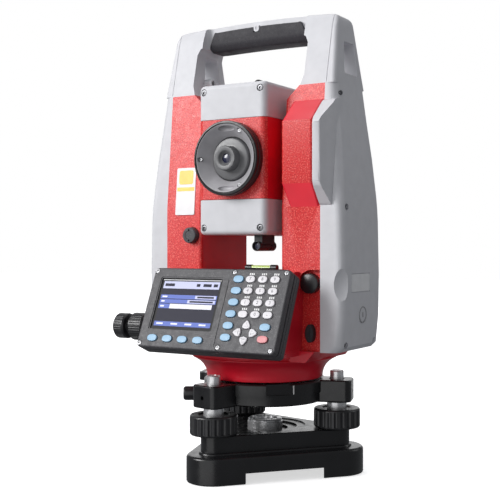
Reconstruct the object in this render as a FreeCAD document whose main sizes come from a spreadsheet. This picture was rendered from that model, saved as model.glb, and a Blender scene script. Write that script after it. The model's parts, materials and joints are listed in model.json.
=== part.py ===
import FreeCAD, Part
import math
import os
import re
import sys
import Sketcher

# Surveying total station with its tribrach. Millimetres, +Z up, the operator's side faces -Y.
# The origin is on the vertical axis, at the foot of the tripod bush.

Vector = FreeCAD.Vector
Rotation = FreeCAD.Rotation

SIZES = {
    # overall
    "tilt_axis_height": 235.0,
    "overall_height": 343.0,
    "running_fit": 0.05,
    "part_gap": 0.3,
    # tribrach
    "foot_circle": 56.0,
    "foot_corner": 20.0,
    "foot_height": 8.0,
    "base_plate_top": 20.0,
    "base_rib_top": 33.5,
    "base_rib_corner": 9.5,
    "base_well_radius": 36.0,
    "base_well_depth": 4.0,
    "foot_inner_edge": 50.0,
    "thread_radius": 6.75,
    "bush_neck_radius": 11.0,
    "bush_flange_radius": 13.5,
    "bush_top": 39.0,
    "foot_knob_radius": 17.7,
    "foot_knob_bottom": 34.0,
    "foot_knob_top": 48.7,
    "foot_collar_radius": 7.5,
    "foot_spindle_radius": 4.5,
    "foot_spindle_bottom": 14.0,
    "foot_cap_top": 77.0,
    "tribrach_bottom": 53.8,
    "tribrach_top": 70.5,
    "tribrach_radius": 47.0,
    "lobe_half": 12.0,
    "level_place": 53.0,
    "level_radius": 6.5,
    "lever_height": 58.0,
    "lever_hub_length": 15.0,
    # vertical axis
    "axis_radius": 12.0,
    "axis_flange_radius": 15.0,
    "axis_reach": 12.0,
    "flare_bottom": 71.3,
    "flare_bottom_radius": 44.6,
    "flare_middle": 83.0,
    "flare_middle_radius": 50.0,
    "flare_top": 88.0,
    "flare_top_radius": 56.0,
    # yoke
    "deck_height": 153.0,
    "yoke_inner": 34.8,
    "yoke_outer": 66.8,
    "yoke_front": 36.3,
    "yoke_rear": 29.0,
    "yoke_bend_height": 200.0,
    "yoke_top": 288.0,
    "yoke_top_front": 28.5,
    "yoke_top_rear": 22.0,
    "bulge_front": 48.4,
    "bulge_half": 22.3,
    "bulge_slope": 15.5,
    # side covers
    "cover_bottom": 96.0,
    "cover_corner": 82.7,
    "cover_side": 85.0,
    "cover_top_side": 74.5,
    # carrying handle
    "handle_side": 71.0,
    "handle_inner": 48.8,
    "handle_end_drop": 2.6,
    "handle_corner": 5.0,
    "handle_front": 15.4,
    "handle_rear": 9.0,
    "bar_thickness": 20.0,
    "bar_wall": 4.0,
    "grip_half": 43.7,
    "window_sill": 8.0,
    "window_head": 2.0,
    "window_half": 12.0,
    "plate_level_radius": 2.4,
    # display unit, measured in its own face
    "display_bottom_front": 86.6,
    "display_bottom_height": 98.6,
    "display_tilt": 23.7,
    "display_half": 58.3,
    "display_tall": 62.0,
    "display_depth": 16.0,
    "bezel_depth": 5.0,
    "screen_left": 50.1,
    "screen_low": 14.2,
    "screen_wide": 53.7,
    "screen_tall": 39.7,
    "key_low": 10.3,
    "key_pitch": 8.7,
    "key_column": 9.95,
    "key_first": 17.3,
    "function_key_wide": 8.2,
    "number_key_wide": 7.4,
    "arrow_key_wide": 7.2,
    "key_tall": 5.2,
    "key_gap": 0.3,
    "soft_key_first": 44.8,
    "soft_key_pitch": 13.2,
    "soft_key_row": 7.0,
    "key_travel": 1.0,
    "key_proud": 1.2,
    # telescope
    "scope_half": 29.3,
    "scope_front": 48.3,
    "scope_tall": 55.5,
    "scope_seam": 29.5,
    "trunnion_radius": 12.0,
    "focus_radius": 27.2,
    "focus_front": 57.5,
    "focus_neck": 20.0,
    "eyepiece_radius": 9.0,
    "eyepiece_boss": 16.0,
    "barrel_radius": 12.0,
    "objective_radius": 26.0,
    "objective_rear": 65.0,
    "sight_foot": 8.0,
    "upper_sight_front": 11.0,
    "upper_sight_length": 34.0,
    "upper_sight_radius": 4.0,
    "lower_sight_front": 43.0,
    "lower_sight_length": 24.0,
    "lower_sight_side": 18.0,
    "lower_sight_drop": 63.6,
    # tangent screws and clamp
    "tangent_front": 50.0,
    "tangent_height": 109.3,
    "tangent_knob": 9.9,
    "clamp_knob": 10.7,
    "lift_knob_side": 57.7,
    "lift_knob_height": 144.7,
    "lift_knob_radius": 7.3,
}

FOOT_ANGLES = (18.7, 138.7, 258.7)
LEVEL_ANGLE = 177.0
LEVER_ANGLE = 214.0
PLANES = {
    "XY": (Rotation(), "z", Vector(0, 0, 1)),
    "XZ": (Rotation(Vector(1, 0, 0), 90), "y", Vector(0, 1, 0)),
    "YZ": (Rotation(Vector(1, 1, 1), 120), "x", Vector(1, 0, 0)),
}

doc = FreeCAD.newDocument("TotalStation")
sheet = doc.addObject("Spreadsheet::Sheet", "Sizes")
for row, (alias, value) in enumerate(SIZES.items(), start=1):
    sheet.set("A%d" % row, alias)
    sheet.set("B%d" % row, str(value))
    sheet.setAlias("B%d" % row, alias)
doc.recompute()


def bound(text):
    """Turn the plain names of sizes in an expression into references to the sheet."""
    return re.sub(r"[a-z][a-z_]+", r"Sizes.\g<0>", str(text))


def bind(item, prop, text):
    item.setExpression(prop, bound(text))


def place(item, x="0", y="0", z="0", turn=None):
    if turn is not None:
        item.Placement = FreeCAD.Placement(Vector(), turn)
    for axis, text in (("x", x), ("y", y), ("z", z)):
        if str(text) != "0":
            bind(item, "Placement.Base." + axis, text)
    return item


def outline(name, plane, points, start="0"):
    """A closed sketch with straight sides whose corners are bound to the sheet."""
    turn, axis, _ = PLANES[plane]
    sketch = doc.addObject("Sketcher::SketchObject", name)
    place(sketch, turn=turn, **{axis: start})
    values = []
    for across, along in points:
        values.append([float(sketch.evalExpression(bound(part))) for part in (across, along)])
    count = len(points)
    for index in range(count):
        first = Vector(*values[index], 0)
        second = Vector(*values[(index + 1) % count], 0)
        sketch.addGeometry(Part.LineSegment(first, second), False)
    for index in range(count):
        following = (index + 1) % count
        sketch.addConstraint(Sketcher.Constraint("Coincident", index, 2, following, 1))
    for index in range(count):
        for kind, which in (("DistanceX", 0), ("DistanceY", 1)):
            rule = Sketcher.Constraint(kind, -1, 1, index, 1, values[index][which])
            number = sketch.addConstraint(rule)
            sketch.setExpression("Constraints[%d]" % number, bound(points[index][which]))
    return sketch


def prism(name, plane, points, start, length):
    """A straight-sided solid: an outline carried along the plane's normal."""
    solid = doc.addObject("Part::Extrusion", name)
    solid.Base = outline(name + "_outline", plane, points, start)
    solid.DirMode = "Custom"
    solid.Dir = PLANES[plane][2]
    solid.Solid = True
    bind(solid, "LengthFwd", length)
    return solid


def turned(name, plane, points, axis):
    """A solid of revolution about the axis through the origin."""
    solid = doc.addObject("Part::Revolution", name)
    solid.Source = outline(name + "_profile", plane, points)
    solid.Axis = axis
    solid.Base = Vector()
    solid.Angle = 360
    solid.Solid = True
    return solid


def loft(name, sections):
    """A ruled solid through level outlines, given as (height, points)."""
    solid = doc.addObject("Part::Loft", name)
    rings = []
    for number, (height, points) in enumerate(sections, start=1):
        rings.append(outline("%s_ring_%d" % (name, number), "XY", points, height))
    solid.Sections = rings
    solid.Solid = True
    solid.Ruled = True
    return solid


def block(name, x, y, z, wide, deep, tall):
    solid = doc.addObject("Part::Box", name)
    bind(solid, "Length", wide)
    bind(solid, "Width", deep)
    bind(solid, "Height", tall)
    return place(solid, x, y, z)


ALONG = {
    "x": Rotation(Vector(0, 1, 0), 90),
    "y": Rotation(Vector(1, 0, 0), -90),
    "z": Rotation(),
}


def rod(name, axis, radius, length, x="0", y="0", z="0"):
    """A cylinder that starts at (x, y, z) and runs along the positive axis."""
    solid = doc.addObject("Part::Cylinder", name)
    bind(solid, "Radius", radius)
    bind(solid, "Height", length)
    return place(solid, x, y, z, turn=ALONG[axis])


def fuse(name, shapes):
    solid = doc.addObject("Part::MultiFuse", name)
    solid.Shapes = shapes
    solid.Refine = True
    return solid


def cut(name, base, tools):
    solid = doc.addObject("Part::Cut", name)
    solid.Base = base
    solid.Tool = tools[0] if len(tools) == 1 else fuse(name + "_tools", tools)
    return solid


def common(name, first, second):
    solid = doc.addObject("Part::Common", name)
    solid.Base = first
    solid.Tool = second
    return solid


def group(name, shapes):
    """Several loose solids that are handled as one sub-part."""
    solid = doc.addObject("Part::Compound", name)
    solid.Links = shapes
    return solid


def mirrored(name, source):
    solid = doc.addObject("Part::Mirroring", name)
    solid.Source = source
    solid.Normal = Vector(1, 0, 0)
    solid.Base = Vector()
    return solid


def polar(radius, angle):
    """The x and y expressions of a point at a radius and a fixed angle."""
    turn = math.radians(angle)
    return "(%s) * %.5f" % (radius, math.cos(turn)), "(%s) * %.5f" % (radius, math.sin(turn))


parts = {}


def keep(node, solid):
    solid.Label = node
    parts[node] = solid


# ---------------------------------------------------------------- tribrach

def three_sided(name, corner, bottom, top):
    """A triangular plate with round corners about the three foot screws."""
    points = []
    rounds = []
    for number, angle in enumerate(FOOT_ANGLES, start=1):
        centre = polar("foot_circle", angle)
        for side in (-60, 60):
            edge = polar(corner, angle + side)
            points.append((centre[0] + " + " + edge[0], centre[1] + " + " + edge[1]))
        height = "%s - %s" % (top, bottom)
        rounds.append(rod("%s_corner_%d" % (name, number), "z", corner, height, *centre, bottom))
    plate = prism(name + "_middle", "XY", points, bottom, "%s - %s" % (top, bottom))
    return fuse(name, [plate] + rounds)


def base_plate():
    lower = three_sided("base_lower", "foot_corner", "foot_height", "base_plate_top")
    upper = three_sided("base_upper", "base_rib_corner", "base_plate_top", "base_rib_top")
    corners = three_sided("base_foot_outline", "foot_corner", "0", "foot_height")
    zones = []
    holes = [rod("base_bush_hole", "z", "bush_neck_radius", "base_rib_top")]
    holes.append(rod("base_well", "z", "base_well_radius", "base_rib_top",
                     z="base_rib_top - base_well_depth"))
    for number, angle in enumerate(FOOT_ANGLES, start=1):
        centre = polar("foot_circle", angle)
        # a foot is the corner of the plate beyond a straight inner edge
        turn = Rotation(Vector(0, 0, 1), angle)
        near = polar("foot_inner_edge", angle)
        side = polar("foot_circle", angle - 90)
        zone = doc.addObject("Part::Box", "base_foot_zone_%d" % number)
        bind(zone, "Length", "foot_circle")
        bind(zone, "Width", "foot_circle * 2")
        bind(zone, "Height", "foot_height")
        zones.append(place(zone, near[0] + " + " + side[0], near[1] + " + " + side[1], "0", turn))
        hole = "foot_spindle_radius + running_fit"
        holes.append(rod("base_hole_%d" % number, "z", hole, "base_rib_top", *centre,
                         "foot_spindle_bottom - part_gap"))
    feet = common("base_feet", corners, fuse("base_foot_zones", zones))
    keep("base_plate", cut("base_plate_solid", fuse("base_whole", [lower, upper, feet]), holes))


def centre_bush():
    floor = "base_rib_top - base_well_depth"
    points = [("thread_radius", "0"), ("bush_neck_radius", "0"), ("bush_neck_radius", floor),
              ("bush_flange_radius", floor), ("bush_flange_radius", "bush_top - 1"),
              ("bush_flange_radius - 1", "bush_top"), ("thread_radius", "bush_top")]
    keep("centre_bush", turned("centre_bush_solid", "XZ", points, Vector(0, 0, 1)))


def tribrach_body():
    thick = "tribrach_top - tribrach_bottom"
    pieces = [rod("tribrach_disc", "z", "tribrach_radius", thick, z="tribrach_bottom")]
    holes = [rod("tribrach_bore", "z", "axis_radius + running_fit", "tribrach_top")]
    for number, angle in enumerate(FOOT_ANGLES, start=1):
        turn = Rotation(Vector(0, 0, 1), angle)
        near = polar("foot_circle - 2 * lobe_half", angle)
        side = polar("lobe_half", angle - 90)
        lobe = doc.addObject("Part::Box", "tribrach_lobe_%d" % number)
        bind(lobe, "Length", "lobe_half * 3")
        bind(lobe, "Width", "lobe_half * 2")
        bind(lobe, "Height", thick)
        place(lobe, near[0] + " + " + side[0], near[1] + " + " + side[1], "tribrach_bottom", turn)
        pieces.append(lobe)
        hole = "foot_spindle_radius + running_fit"
        holes.append(rod("tribrach_hole_%d" % number, "z", hole, "tribrach_top",
                         *polar("foot_circle", angle)))
    boss_low = "tribrach_top - 6.5"
    level = polar("level_place", LEVEL_ANGLE)
    pieces.append(rod("level_boss", "z", "level_radius + 2", "6.5", *level, boss_low))
    holes.append(rod("level_seat", "z", "level_radius", "20", *level, "tribrach_top - 4.5"))
    lever = doc.addObject("Part::Cylinder", "lever_bore")
    bind(lever, "Radius", "3 + running_fit")
    bind(lever, "Height", "20")
    lever_turn = Rotation(Vector(0, 0, 1), Vector(*[float(part) for part in unit(LEVER_ANGLE)], 0))
    place(lever, *polar("tribrach_radius - 12", LEVER_ANGLE), "lever_height", lever_turn)
    holes.append(lever)
    keep("tribrach_body", cut("tribrach_body_solid", fuse("tribrach_whole", pieces), holes))


def unit(angle):
    turn = math.radians(angle)
    return math.cos(turn), math.sin(turn)


def circular_level():
    cup = rod("level_cup", "z", "level_radius", "5.8", *polar("level_place", LEVEL_ANGLE),
              "tribrach_top - 4.5")
    keep("circular_level", cup)


def foot_screws():
    flutes = 12
    for number, angle in enumerate(FOOT_ANGLES, start=1):
        x, y = polar("foot_circle", angle)
        name = "foot_screw_%d" % number
        tall = "foot_knob_top - foot_knob_bottom"
        disc = rod(name + "_disc", "z", "foot_knob_radius", tall, x, y, "foot_knob_bottom")
        tools = []
        for step in range(flutes):
            away = polar("foot_knob_radius + 1", step * 360 / flutes)
            tools.append(rod("%s_flute_%d" % (name, step), "z", "2", tall,
                             x + " + " + away[0], y + " + " + away[1], "foot_knob_bottom"))
        tools.append(rod(name + "_bore", "z", "foot_spindle_radius", tall, x, y, "foot_knob_bottom"))
        knob = cut(name + "_knob", disc, tools)
        spindle = rod(name + "_spindle", "z", "foot_spindle_radius",
                      "foot_cap_top - foot_spindle_bottom", x, y, "foot_spindle_bottom")
        collar = rod(name + "_collar", "z", "foot_collar_radius",
                     "tribrach_bottom - part_gap - foot_knob_top", x, y, "foot_knob_top")
        keep(name, group(name + "_set", [knob, fuse(name + "_steel", [spindle, collar])]))


def lock_lever():
    direction = Vector(*unit(LEVER_ANGLE), 0)
    turn = Rotation(Vector(0, 0, 1), direction)
    shaft = doc.addObject("Part::Cylinder", "lever_shaft")
    bind(shaft, "Radius", "3")
    bind(shaft, "Height", "17")
    place(shaft, *polar("tribrach_radius - 11", LEVER_ANGLE), "lever_height", turn)
    hub = doc.addObject("Part::Cylinder", "lever_hub")
    bind(hub, "Radius", "5.4")
    bind(hub, "Height", "lever_hub_length")
    place(hub, *polar("tribrach_radius + 1", LEVER_ANGLE), "lever_height", turn)
    keep("lock_lever", fuse("lock_lever_solid", [shaft, hub]))


# ---------------------------------------------------------------- alidade

def upright(name, inner, outer):
    """One upright of the yoke, wider at the foot, leaning back towards the top."""
    side = prism(name + "_side", "YZ", [
        ("-yoke_front", "flare_top"), ("yoke_rear", "flare_top"),
        ("yoke_rear", "yoke_bend_height"), ("yoke_top_rear", "yoke_top"),
        ("-yoke_top_front", "yoke_top"), ("-yoke_front", "yoke_bend_height")],
        inner, "%s - %s" % (outer, inner))
    return side


def yoke_frame():
    right = upright("yoke_right", "yoke_inner", "yoke_outer")
    chamfer = prism("yoke_chamfer", "XZ", [
        ("yoke_inner - 1", "yoke_top - 12"), ("yoke_inner + 11.2", "yoke_top + 1"),
        ("yoke_inner - 1", "yoke_top + 1")], "-60", "120")
    right = cut("yoke_right_cut", right, [chamfer])
    left = mirrored("yoke_left", right)
    # the bulge at the front of the right upright, over the tilt gear
    bulge = prism("yoke_bulge", "YZ", [
        ("-yoke_top_front + 4", "tilt_axis_height - bulge_half - bulge_slope"),
        ("-yoke_front", "tilt_axis_height - bulge_half - bulge_slope"),
        ("-bulge_front", "tilt_axis_height - bulge_half + 3"),
        ("-bulge_front", "tilt_axis_height + bulge_half + 3"),
        ("-yoke_front + 5", "tilt_axis_height + bulge_half + bulge_slope + 3"),
        ("-yoke_top_front + 4", "tilt_axis_height + bulge_half + bulge_slope + 3")],
        "yoke_inner + 7", "yoke_outer - yoke_inner - 7")
    base = prism("yoke_base", "YZ", [
        ("-yoke_front", "flare_top"), ("yoke_rear", "flare_top"),
        ("yoke_rear", "deck_height"), ("-yoke_front", "deck_height")],
        "-yoke_inner", "yoke_inner * 2")
    neck_back = "display_bottom_front - 19.0"
    neck = prism("yoke_neck", "YZ", [
        ("-yoke_front + 6", "flare_top + 5"), ("-yoke_front - 19", "flare_top + 5"),
        ("-yoke_front - 19", "flare_top + 8"),
        ("-(%s)" % neck_back, "display_bottom_height + 3.46"),
        ("-(display_bottom_front - 38.3)", "display_bottom_height + 47.4"),
        ("-yoke_front - 7.7", "deck_height"), ("-yoke_front + 6", "deck_height")], "-50", "100")
    whole = fuse("yoke_whole", [right, left, bulge, base, neck])
    # below the covers the frame draws in to meet the flared foot
    foot_cut = prism("yoke_foot_cut", "XZ", [
        ("flare_top_radius - 2", "flare_top - 1"), ("yoke_outer + 1", "flare_top - 1"),
        ("yoke_outer + 1", "cover_bottom"), ("yoke_outer - 5", "cover_bottom")], "-60", "120")
    tools = [
        foot_cut,
        mirrored("yoke_foot_cut_left", foot_cut),
        rod("yoke_axis_bore", "z", "axis_radius", "axis_reach", z="flare_top"),
        rod("yoke_tilt_bore", "x", "trunnion_radius + running_fit", "yoke_outer * 2 + 2",
            "-yoke_outer - 1", "0", "tilt_axis_height"),
        # the set-back lower front of the right upright, with the pocket of the tangent screw
        block("yoke_setback", "50", "-yoke_front - 1", "cover_bottom", "30", "6",
              "deck_height - cover_bottom"),
        rod("yoke_lift_bore", "y", "3 + running_fit", "20", "lift_knob_side",
            "-yoke_front", "lift_knob_height"),
        rod("yoke_tangent_bore", "x", "3.5 + running_fit", "40", "-62",
            "-tangent_front", "tangent_height"),
    ]
    keep("yoke_frame", cut("yoke_frame_solid", whole, tools))


def axis_spindle():
    floor = "tribrach_bottom - part_gap"
    points = [("0", floor + " - 3.2"), ("axis_flange_radius", floor + " - 3.2"),
              ("axis_flange_radius", floor), ("axis_radius", floor),
              ("axis_radius", "flare_top + axis_reach"), ("0", "flare_top + axis_reach")]
    spindle = turned("axis_spindle_core", "XZ", points, Vector(0, 0, 1))
    # the flared foot is bolted between the spindle and the yoke
    foot = turned("axis_flared_foot", "XZ", [
        ("axis_radius", "flare_bottom"), ("flare_bottom_radius", "flare_bottom"),
        ("flare_bottom_radius + 1.6", "flare_bottom + 6"),
        ("flare_middle_radius", "flare_middle"), ("flare_top_radius", "flare_top"),
        ("axis_radius", "flare_top")], Vector(0, 0, 1))
    keep("axis_spindle", group("axis_spindle_set", [spindle, foot]))


def side_ring(strip_front, corner, side, rear, outer_rear):
    """Level outline of a side cover on the right: flat strip, corner facet, side, rear facet."""
    return [("yoke_outer", "-(%s)" % strip_front),
            (corner + " - 5.1", "-(%s)" % strip_front),
            (corner, "-(%s) + 7.5" % strip_front),
            (side, outer_rear + " - 13.5"),
            (side + " - 6.5", outer_rear),
            ("yoke_outer", rear)]


def side_covers():
    sections = [
        ("cover_bottom", side_ring("yoke_front", "cover_corner - 3", "cover_side - 3",
                                   "yoke_rear", "yoke_rear")),
        ("cover_bottom + 44", side_ring("yoke_front", "cover_corner", "cover_side",
                                        "yoke_rear", "yoke_rear")),
        ("yoke_bend_height", side_ring("yoke_front", "cover_corner - 1", "cover_side - 1.2",
                                       "yoke_rear", "yoke_rear")),
        ("yoke_top", side_ring("yoke_top_front", "cover_top_side - 1", "cover_top_side",
                               "yoke_top_rear", "yoke_top_rear")),
    ]
    right = loft("cover_block", sections)
    # the bulge of the yoke runs on into the cover as a narrow bright strip
    bulge = prism("cover_bulge", "YZ", [
        ("-yoke_front + 9", "tilt_axis_height - bulge_half - bulge_slope"),
        ("-yoke_front", "tilt_axis_height - bulge_half - bulge_slope"),
        ("-bulge_front", "tilt_axis_height - bulge_half + 3"),
        ("-bulge_front", "tilt_axis_height + bulge_half + 3"),
        ("-yoke_front + 5", "tilt_axis_height + bulge_half + bulge_slope + 3"),
        ("-yoke_front + 12", "tilt_axis_height + bulge_half + bulge_slope + 3")],
        "yoke_outer", "5.7")
    whole = fuse("cover_right_whole", [right, bulge])
    shaft = rod("cover_shaft_room", "x", "trunnion_radius + 2", "8", "yoke_outer - 1", "0",
                "tilt_axis_height")
    keep("right_cover", cut("right_cover_solid", whole, [shaft]))
    left = mirrored("cover_left_block", right)
    tools = [
        rod("cover_left_shaft_room", "x", "trunnion_radius + 2", "8", "-yoke_outer - 7", "0",
            "tilt_axis_height"),
        block("battery_room", "-cover_side - 6", "-20", "cover_bottom + 30",
              "cover_side - yoke_outer + 6", "36", "70"),
    ]
    keep("left_cover", cut("left_cover_solid", left, tools))


def battery_pack():
    case = block("battery_case", "-cover_side + 1.4", "-20 + part_gap", "cover_bottom + 30 + part_gap",
                 "cover_side - yoke_outer - 2.4", "36 - 2 * part_gap", "70 - 2 * part_gap")
    latch = block("battery_latch", "-cover_side - 0.6", "-8", "cover_bottom + 84", "3", "12", "9")
    keep("battery_pack", fuse("battery_pack_solid", [case, latch]))


def carry_handle():
    end = "overall_height - handle_end_drop"
    bar_bottom = "overall_height - bar_thickness"
    sill = "yoke_top + window_sill"
    corner = "handle_corner"
    hook = prism("handle_front_view", "XZ", [
        ("cover_top_side", "yoke_top"), ("handle_side", "%s - %s" % (end, corner)),
        ("handle_side - " + corner, end), ("0", "overall_height"),
        ("-handle_side + " + corner, end), ("-handle_side", "%s - %s" % (end, corner)),
        ("-cover_top_side", "yoke_top"), ("-yoke_inner - 11.2", "yoke_top"),
        ("-handle_inner", sill), ("-handle_inner", bar_bottom + " - 4"),
        ("-handle_inner + " + corner, bar_bottom), ("handle_inner - " + corner, bar_bottom),
        ("handle_inner", bar_bottom + " - 4"), ("handle_inner", sill),
        ("yoke_inner + 11.2", "yoke_top")], "-40", "80")
    side = prism("handle_side_view", "YZ", [
        ("-yoke_top_front", "yoke_top"), ("yoke_top_rear", "yoke_top"),
        ("handle_rear", "overall_height"), ("-handle_front", "overall_height")],
        "-90", "180")
    # the slim core of the bar, round which the grip is clipped
    core_low = bar_bottom + " + bar_wall"
    core_tall = "bar_thickness - 2 * bar_wall - 1"
    wide = "grip_half * 2"
    tools = [
        block("handle_windows", "-90", "-window_half", sill, "180", "window_half * 2",
              "overall_height - bar_thickness - window_head - yoke_top - window_sill"),
        block("handle_bar_front", "-grip_half", "-40", core_low, wide, "40 - 9", core_tall),
        block("handle_bar_rear", "-grip_half", "6", core_low, wide, "30", core_tall),
        block("handle_bar_under", "-grip_half", "-40", bar_bottom + " - 2", wide, "80",
              "bar_wall + 2"),
        block("handle_cap_front", "-grip_half", "-40", bar_bottom, wide, "40 - 12", "40"),
        block("handle_cap_rear", "-grip_half", "handle_rear", bar_bottom, wide, "30", "40"),
    ]
    starts = ("-handle_inner - 3", "handle_inner - 7")
    bosses = [block("handle_boss_foot_%d" % number, start, "-window_half - 1", sill + " - 1",
                    "10", "5", "4") for number, start in enumerate(starts, start=1)]
    bosses += [rod("handle_boss_%d" % number, "x", "3.6", "10", start, "-8.6", sill + " + 3.4")
               for number, start in enumerate(starts, start=1)]
    body = cut("handle_body", common("handle_solid", hook, side), tools)
    holes = [rod("handle_screw_hole", "x", "1.9", "120", "-60", "-8.6", sill + " + 3.4")]
    keep("carry_handle", cut("carry_handle_solid", fuse("handle_whole", [body] + bosses), holes))


def handle_grip():
    bottom = "overall_height - bar_thickness"
    shell = block("grip_shell", "-grip_half + 0.2", "-12", bottom, "grip_half * 2 - 0.4",
                  "21", "bar_thickness - bar_wall - 1")
    room = block("grip_room", "-grip_half - 1", "-9", bottom + " + bar_wall",
                 "grip_half * 2 + 2", "15", "bar_thickness * 2")
    keep("handle_grip", cut("handle_grip_solid", shell, [room]))


def on_display(item):
    """Set an item made flat, face up, into the tilted plane of the display unit."""
    item.Placement = FreeCAD.Placement(Vector(), Rotation(Vector(1, 0, 0), 66.3))
    bind(item, "Placement.Base.y", "-display_bottom_front")
    bind(item, "Placement.Base.z", "display_bottom_height")
    bind(item, "Placement.Rotation.Angle", "90 - display_tilt")
    return item


def stadium(name, x, y, wide, tall, low, high):
    """A round-ended slug that lies flat, long side across."""
    reach = "(%s - %s) / 2" % (wide, tall)
    middle = block(name + "_middle", "%s - %s" % (x, reach), "%s - (%s) / 2" % (y, tall), low,
                   reach + " * 2", tall, "(%s) - (%s)" % (high, low))
    ends = []
    for sign, label in (("-", "left"), ("+", "right")):
        ends.append(rod("%s_%s" % (name, label), "z", "(%s) / 2" % tall,
                        "(%s) - (%s)" % (high, low), "%s %s %s" % (x, sign, reach), y, low))
    return fuse(name, [middle] + ends)


def key_places():
    """Every key of the keyboard: name, across, up the face and width."""
    places = []
    for number in range(6):
        up = "key_low + %d * key_pitch" % (5 - number)
        places.append(("key_f%d" % (number + 1), "key_first", up, "function_key_wide"))
    for line in range(4):
        for column in range(3):
            name = "key_number_%d" % (line * 3 + column + 1)
            across = "key_first + %d * key_column" % (column + 1)
            up = "key_low + %d * key_pitch" % (5 - line)
            places.append((name, across, up, "number_key_wide"))
    arrow = "key_first + 1.5 * key_column"
    row = "key_low + 0.47 * key_pitch"
    places.append(("key_up", arrow, row + " + 0.66 * key_pitch", "arrow_key_wide"))
    places.append(("key_left", arrow + " - 0.64 * key_column", row, "arrow_key_wide"))
    places.append(("key_right", arrow + " + 0.64 * key_column", row, "arrow_key_wide"))
    places.append(("key_down", arrow, row + " - 0.66 * key_pitch", "arrow_key_wide"))
    for line, name in enumerate(("key_enter", "key_power")):
        up = "key_low + %d * key_pitch" % (1 - line)
        places.append((name, "key_first + 3 * key_column", up, "function_key_wide"))
    for number in range(4):
        across = "-soft_key_first + %d * soft_key_pitch" % number
        places.append(("key_soft_%d" % (number + 1), across, "soft_key_row", "function_key_wide"))
    return places


def display_unit():
    back = "-display_depth"
    bezel_back = "-bezel_depth"
    wide = "display_half * 2"
    bezel = block("bezel_slab", "-display_half", "0", bezel_back, wide, "display_tall", "bezel_depth")
    panel = block("bezel_lcd_hole", "-screen_left", "screen_low", "-bezel_depth - 1",
                  "screen_wide", "screen_tall", "bezel_depth + 2")
    holes = [panel]
    for name, across, up, key_wide in key_places():
        holes.append(stadium(name + "_hole", across, up, key_wide + " + 2 * key_gap",
                             "key_tall + 2 * key_gap", "-bezel_depth - 1", "2"))
    keep("display_bezel", on_display(cut("display_bezel_solid", bezel, holes)))
    lcd = block("lcd_slab", "-screen_left", "screen_low", "-bezel_depth",
                "screen_wide", "screen_tall", "bezel_depth - 1")
    keep("lcd_panel", on_display(group("lcd_panel_solid", [lcd])))
    case = prism("case_block", "XZ", [
        ("-display_half", bezel_back), ("-display_half + 2", back + " + 3"),
        ("-display_half + 6", back), ("display_half - 6", back),
        ("display_half - 2", back + " + 3"), ("display_half", bezel_back)], "0", "display_tall")
    for name, across, up, key_wide in key_places():
        key = stadium(name, across, up, key_wide, "key_tall", "-bezel_depth + key_travel + 0.5",
                      "key_proud")
        keep(name, on_display(key))
    keep("display_housing", on_display(cut("display_housing_solid", case, [
        block("case_board_room", "-display_half + 8", "6", back + " + 4", wide + " - 16",
              "display_tall - 12", "3")])))


def plate_level():
    tube = rod("level_tube", "x", "plate_level_radius", "26", "yoke_inner - 26.8", "-40",
               "deck_height + plate_level_radius + 0.1")
    foot = block("level_foot", "yoke_inner - 25.8", "-42", "deck_height", "24", "4", "2")
    keep("plate_level", fuse("plate_level_solid", [tube, foot]))


def port_plugs():
    plummet = rod("plummet_cap", "y", "6", "5", "-43", "-yoke_front - 5", "179.6")
    plug = doc.addObject("Part::Box", "connector_middle")
    bind(plug, "Length", "7")
    bind(plug, "Width", "5")
    bind(plug, "Height", "6")
    place(plug, "54", "-yoke_front", "106")
    ends = [rod("connector_low", "y", "3.5", "5", "57.5", "-yoke_front", "106"),
            rod("connector_high", "y", "3.5", "5", "57.5", "-yoke_front", "112")]
    keep("port_plugs", group("port_plug_set", [plummet, fuse("connector_plug", [plug] + ends)]))


def housing_screws():
    """Six screws of the display face and the two fixing screws of the handle."""
    screws = []
    columns = ("-display_half + 2.6", "12.4", "display_half - 3.6")
    for number, across in enumerate(columns, start=1):
        for label, up in (("low", "2.8"), ("high", "display_tall - 2.8")):
            head = rod("face_screw_%d_%s" % (number, label), "z", "1.9", "0.4", across, up, "0")
            screws.append(head)
    face = on_display(group("face_screws", screws))
    fixings = []
    for number, start in enumerate(("-handle_inner - 2", "handle_inner - 6"), start=1):
        fixings.append(rod("handle_fixing_%d" % number, "x", "1.9", "8", start, "-8.6",
                           "yoke_top + window_sill + 3.4"))
    keep("housing_screws", group("housing_screw_set", [face] + fixings))


# ---------------------------------------------------------------- tangent screws and clamp

def tangent_screws():
    y = "-tangent_front"
    z = "tangent_height"
    knob = rod("h_knob_grip", "x", "tangent_knob", "10.1", "-102.6", y, z)
    neck = rod("h_knob_neck", "x", "5.2", "5", "-93", y, z)
    shaft = rod("h_knob_shaft", "x", "3.5", "62", "-93", y, z)
    keep("h_tangent_knob", fuse("h_tangent_knob_solid", [knob, neck, shaft]))
    ring = rod("clamp_ring_disc", "x", "clamp_knob", "14", "-88 + part_gap", y, z)
    sleeve = rod("clamp_ring_sleeve", "x", "8", "24 - part_gap", "-74", y, z)
    bore = rod("clamp_ring_bore", "x", "3.5 + running_fit", "60", "-95", y, z)
    whole = fuse("clamp_ring_whole", [ring, sleeve])
    keep("h_clamp_ring", cut("h_clamp_ring_solid", whole, [bore]))
    grip = rod("lift_knob_grip", "y", "lift_knob_radius", "5.6", "lift_knob_side",
               "-yoke_front - 0.9", "lift_knob_height")
    stem = rod("lift_knob_stem", "y", "3", "20", "lift_knob_side", "-yoke_front",
               "lift_knob_height")
    keep("v_tangent_knob", fuse("v_tangent_knob_solid", [grip, stem]))


# ---------------------------------------------------------------- telescope

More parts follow.
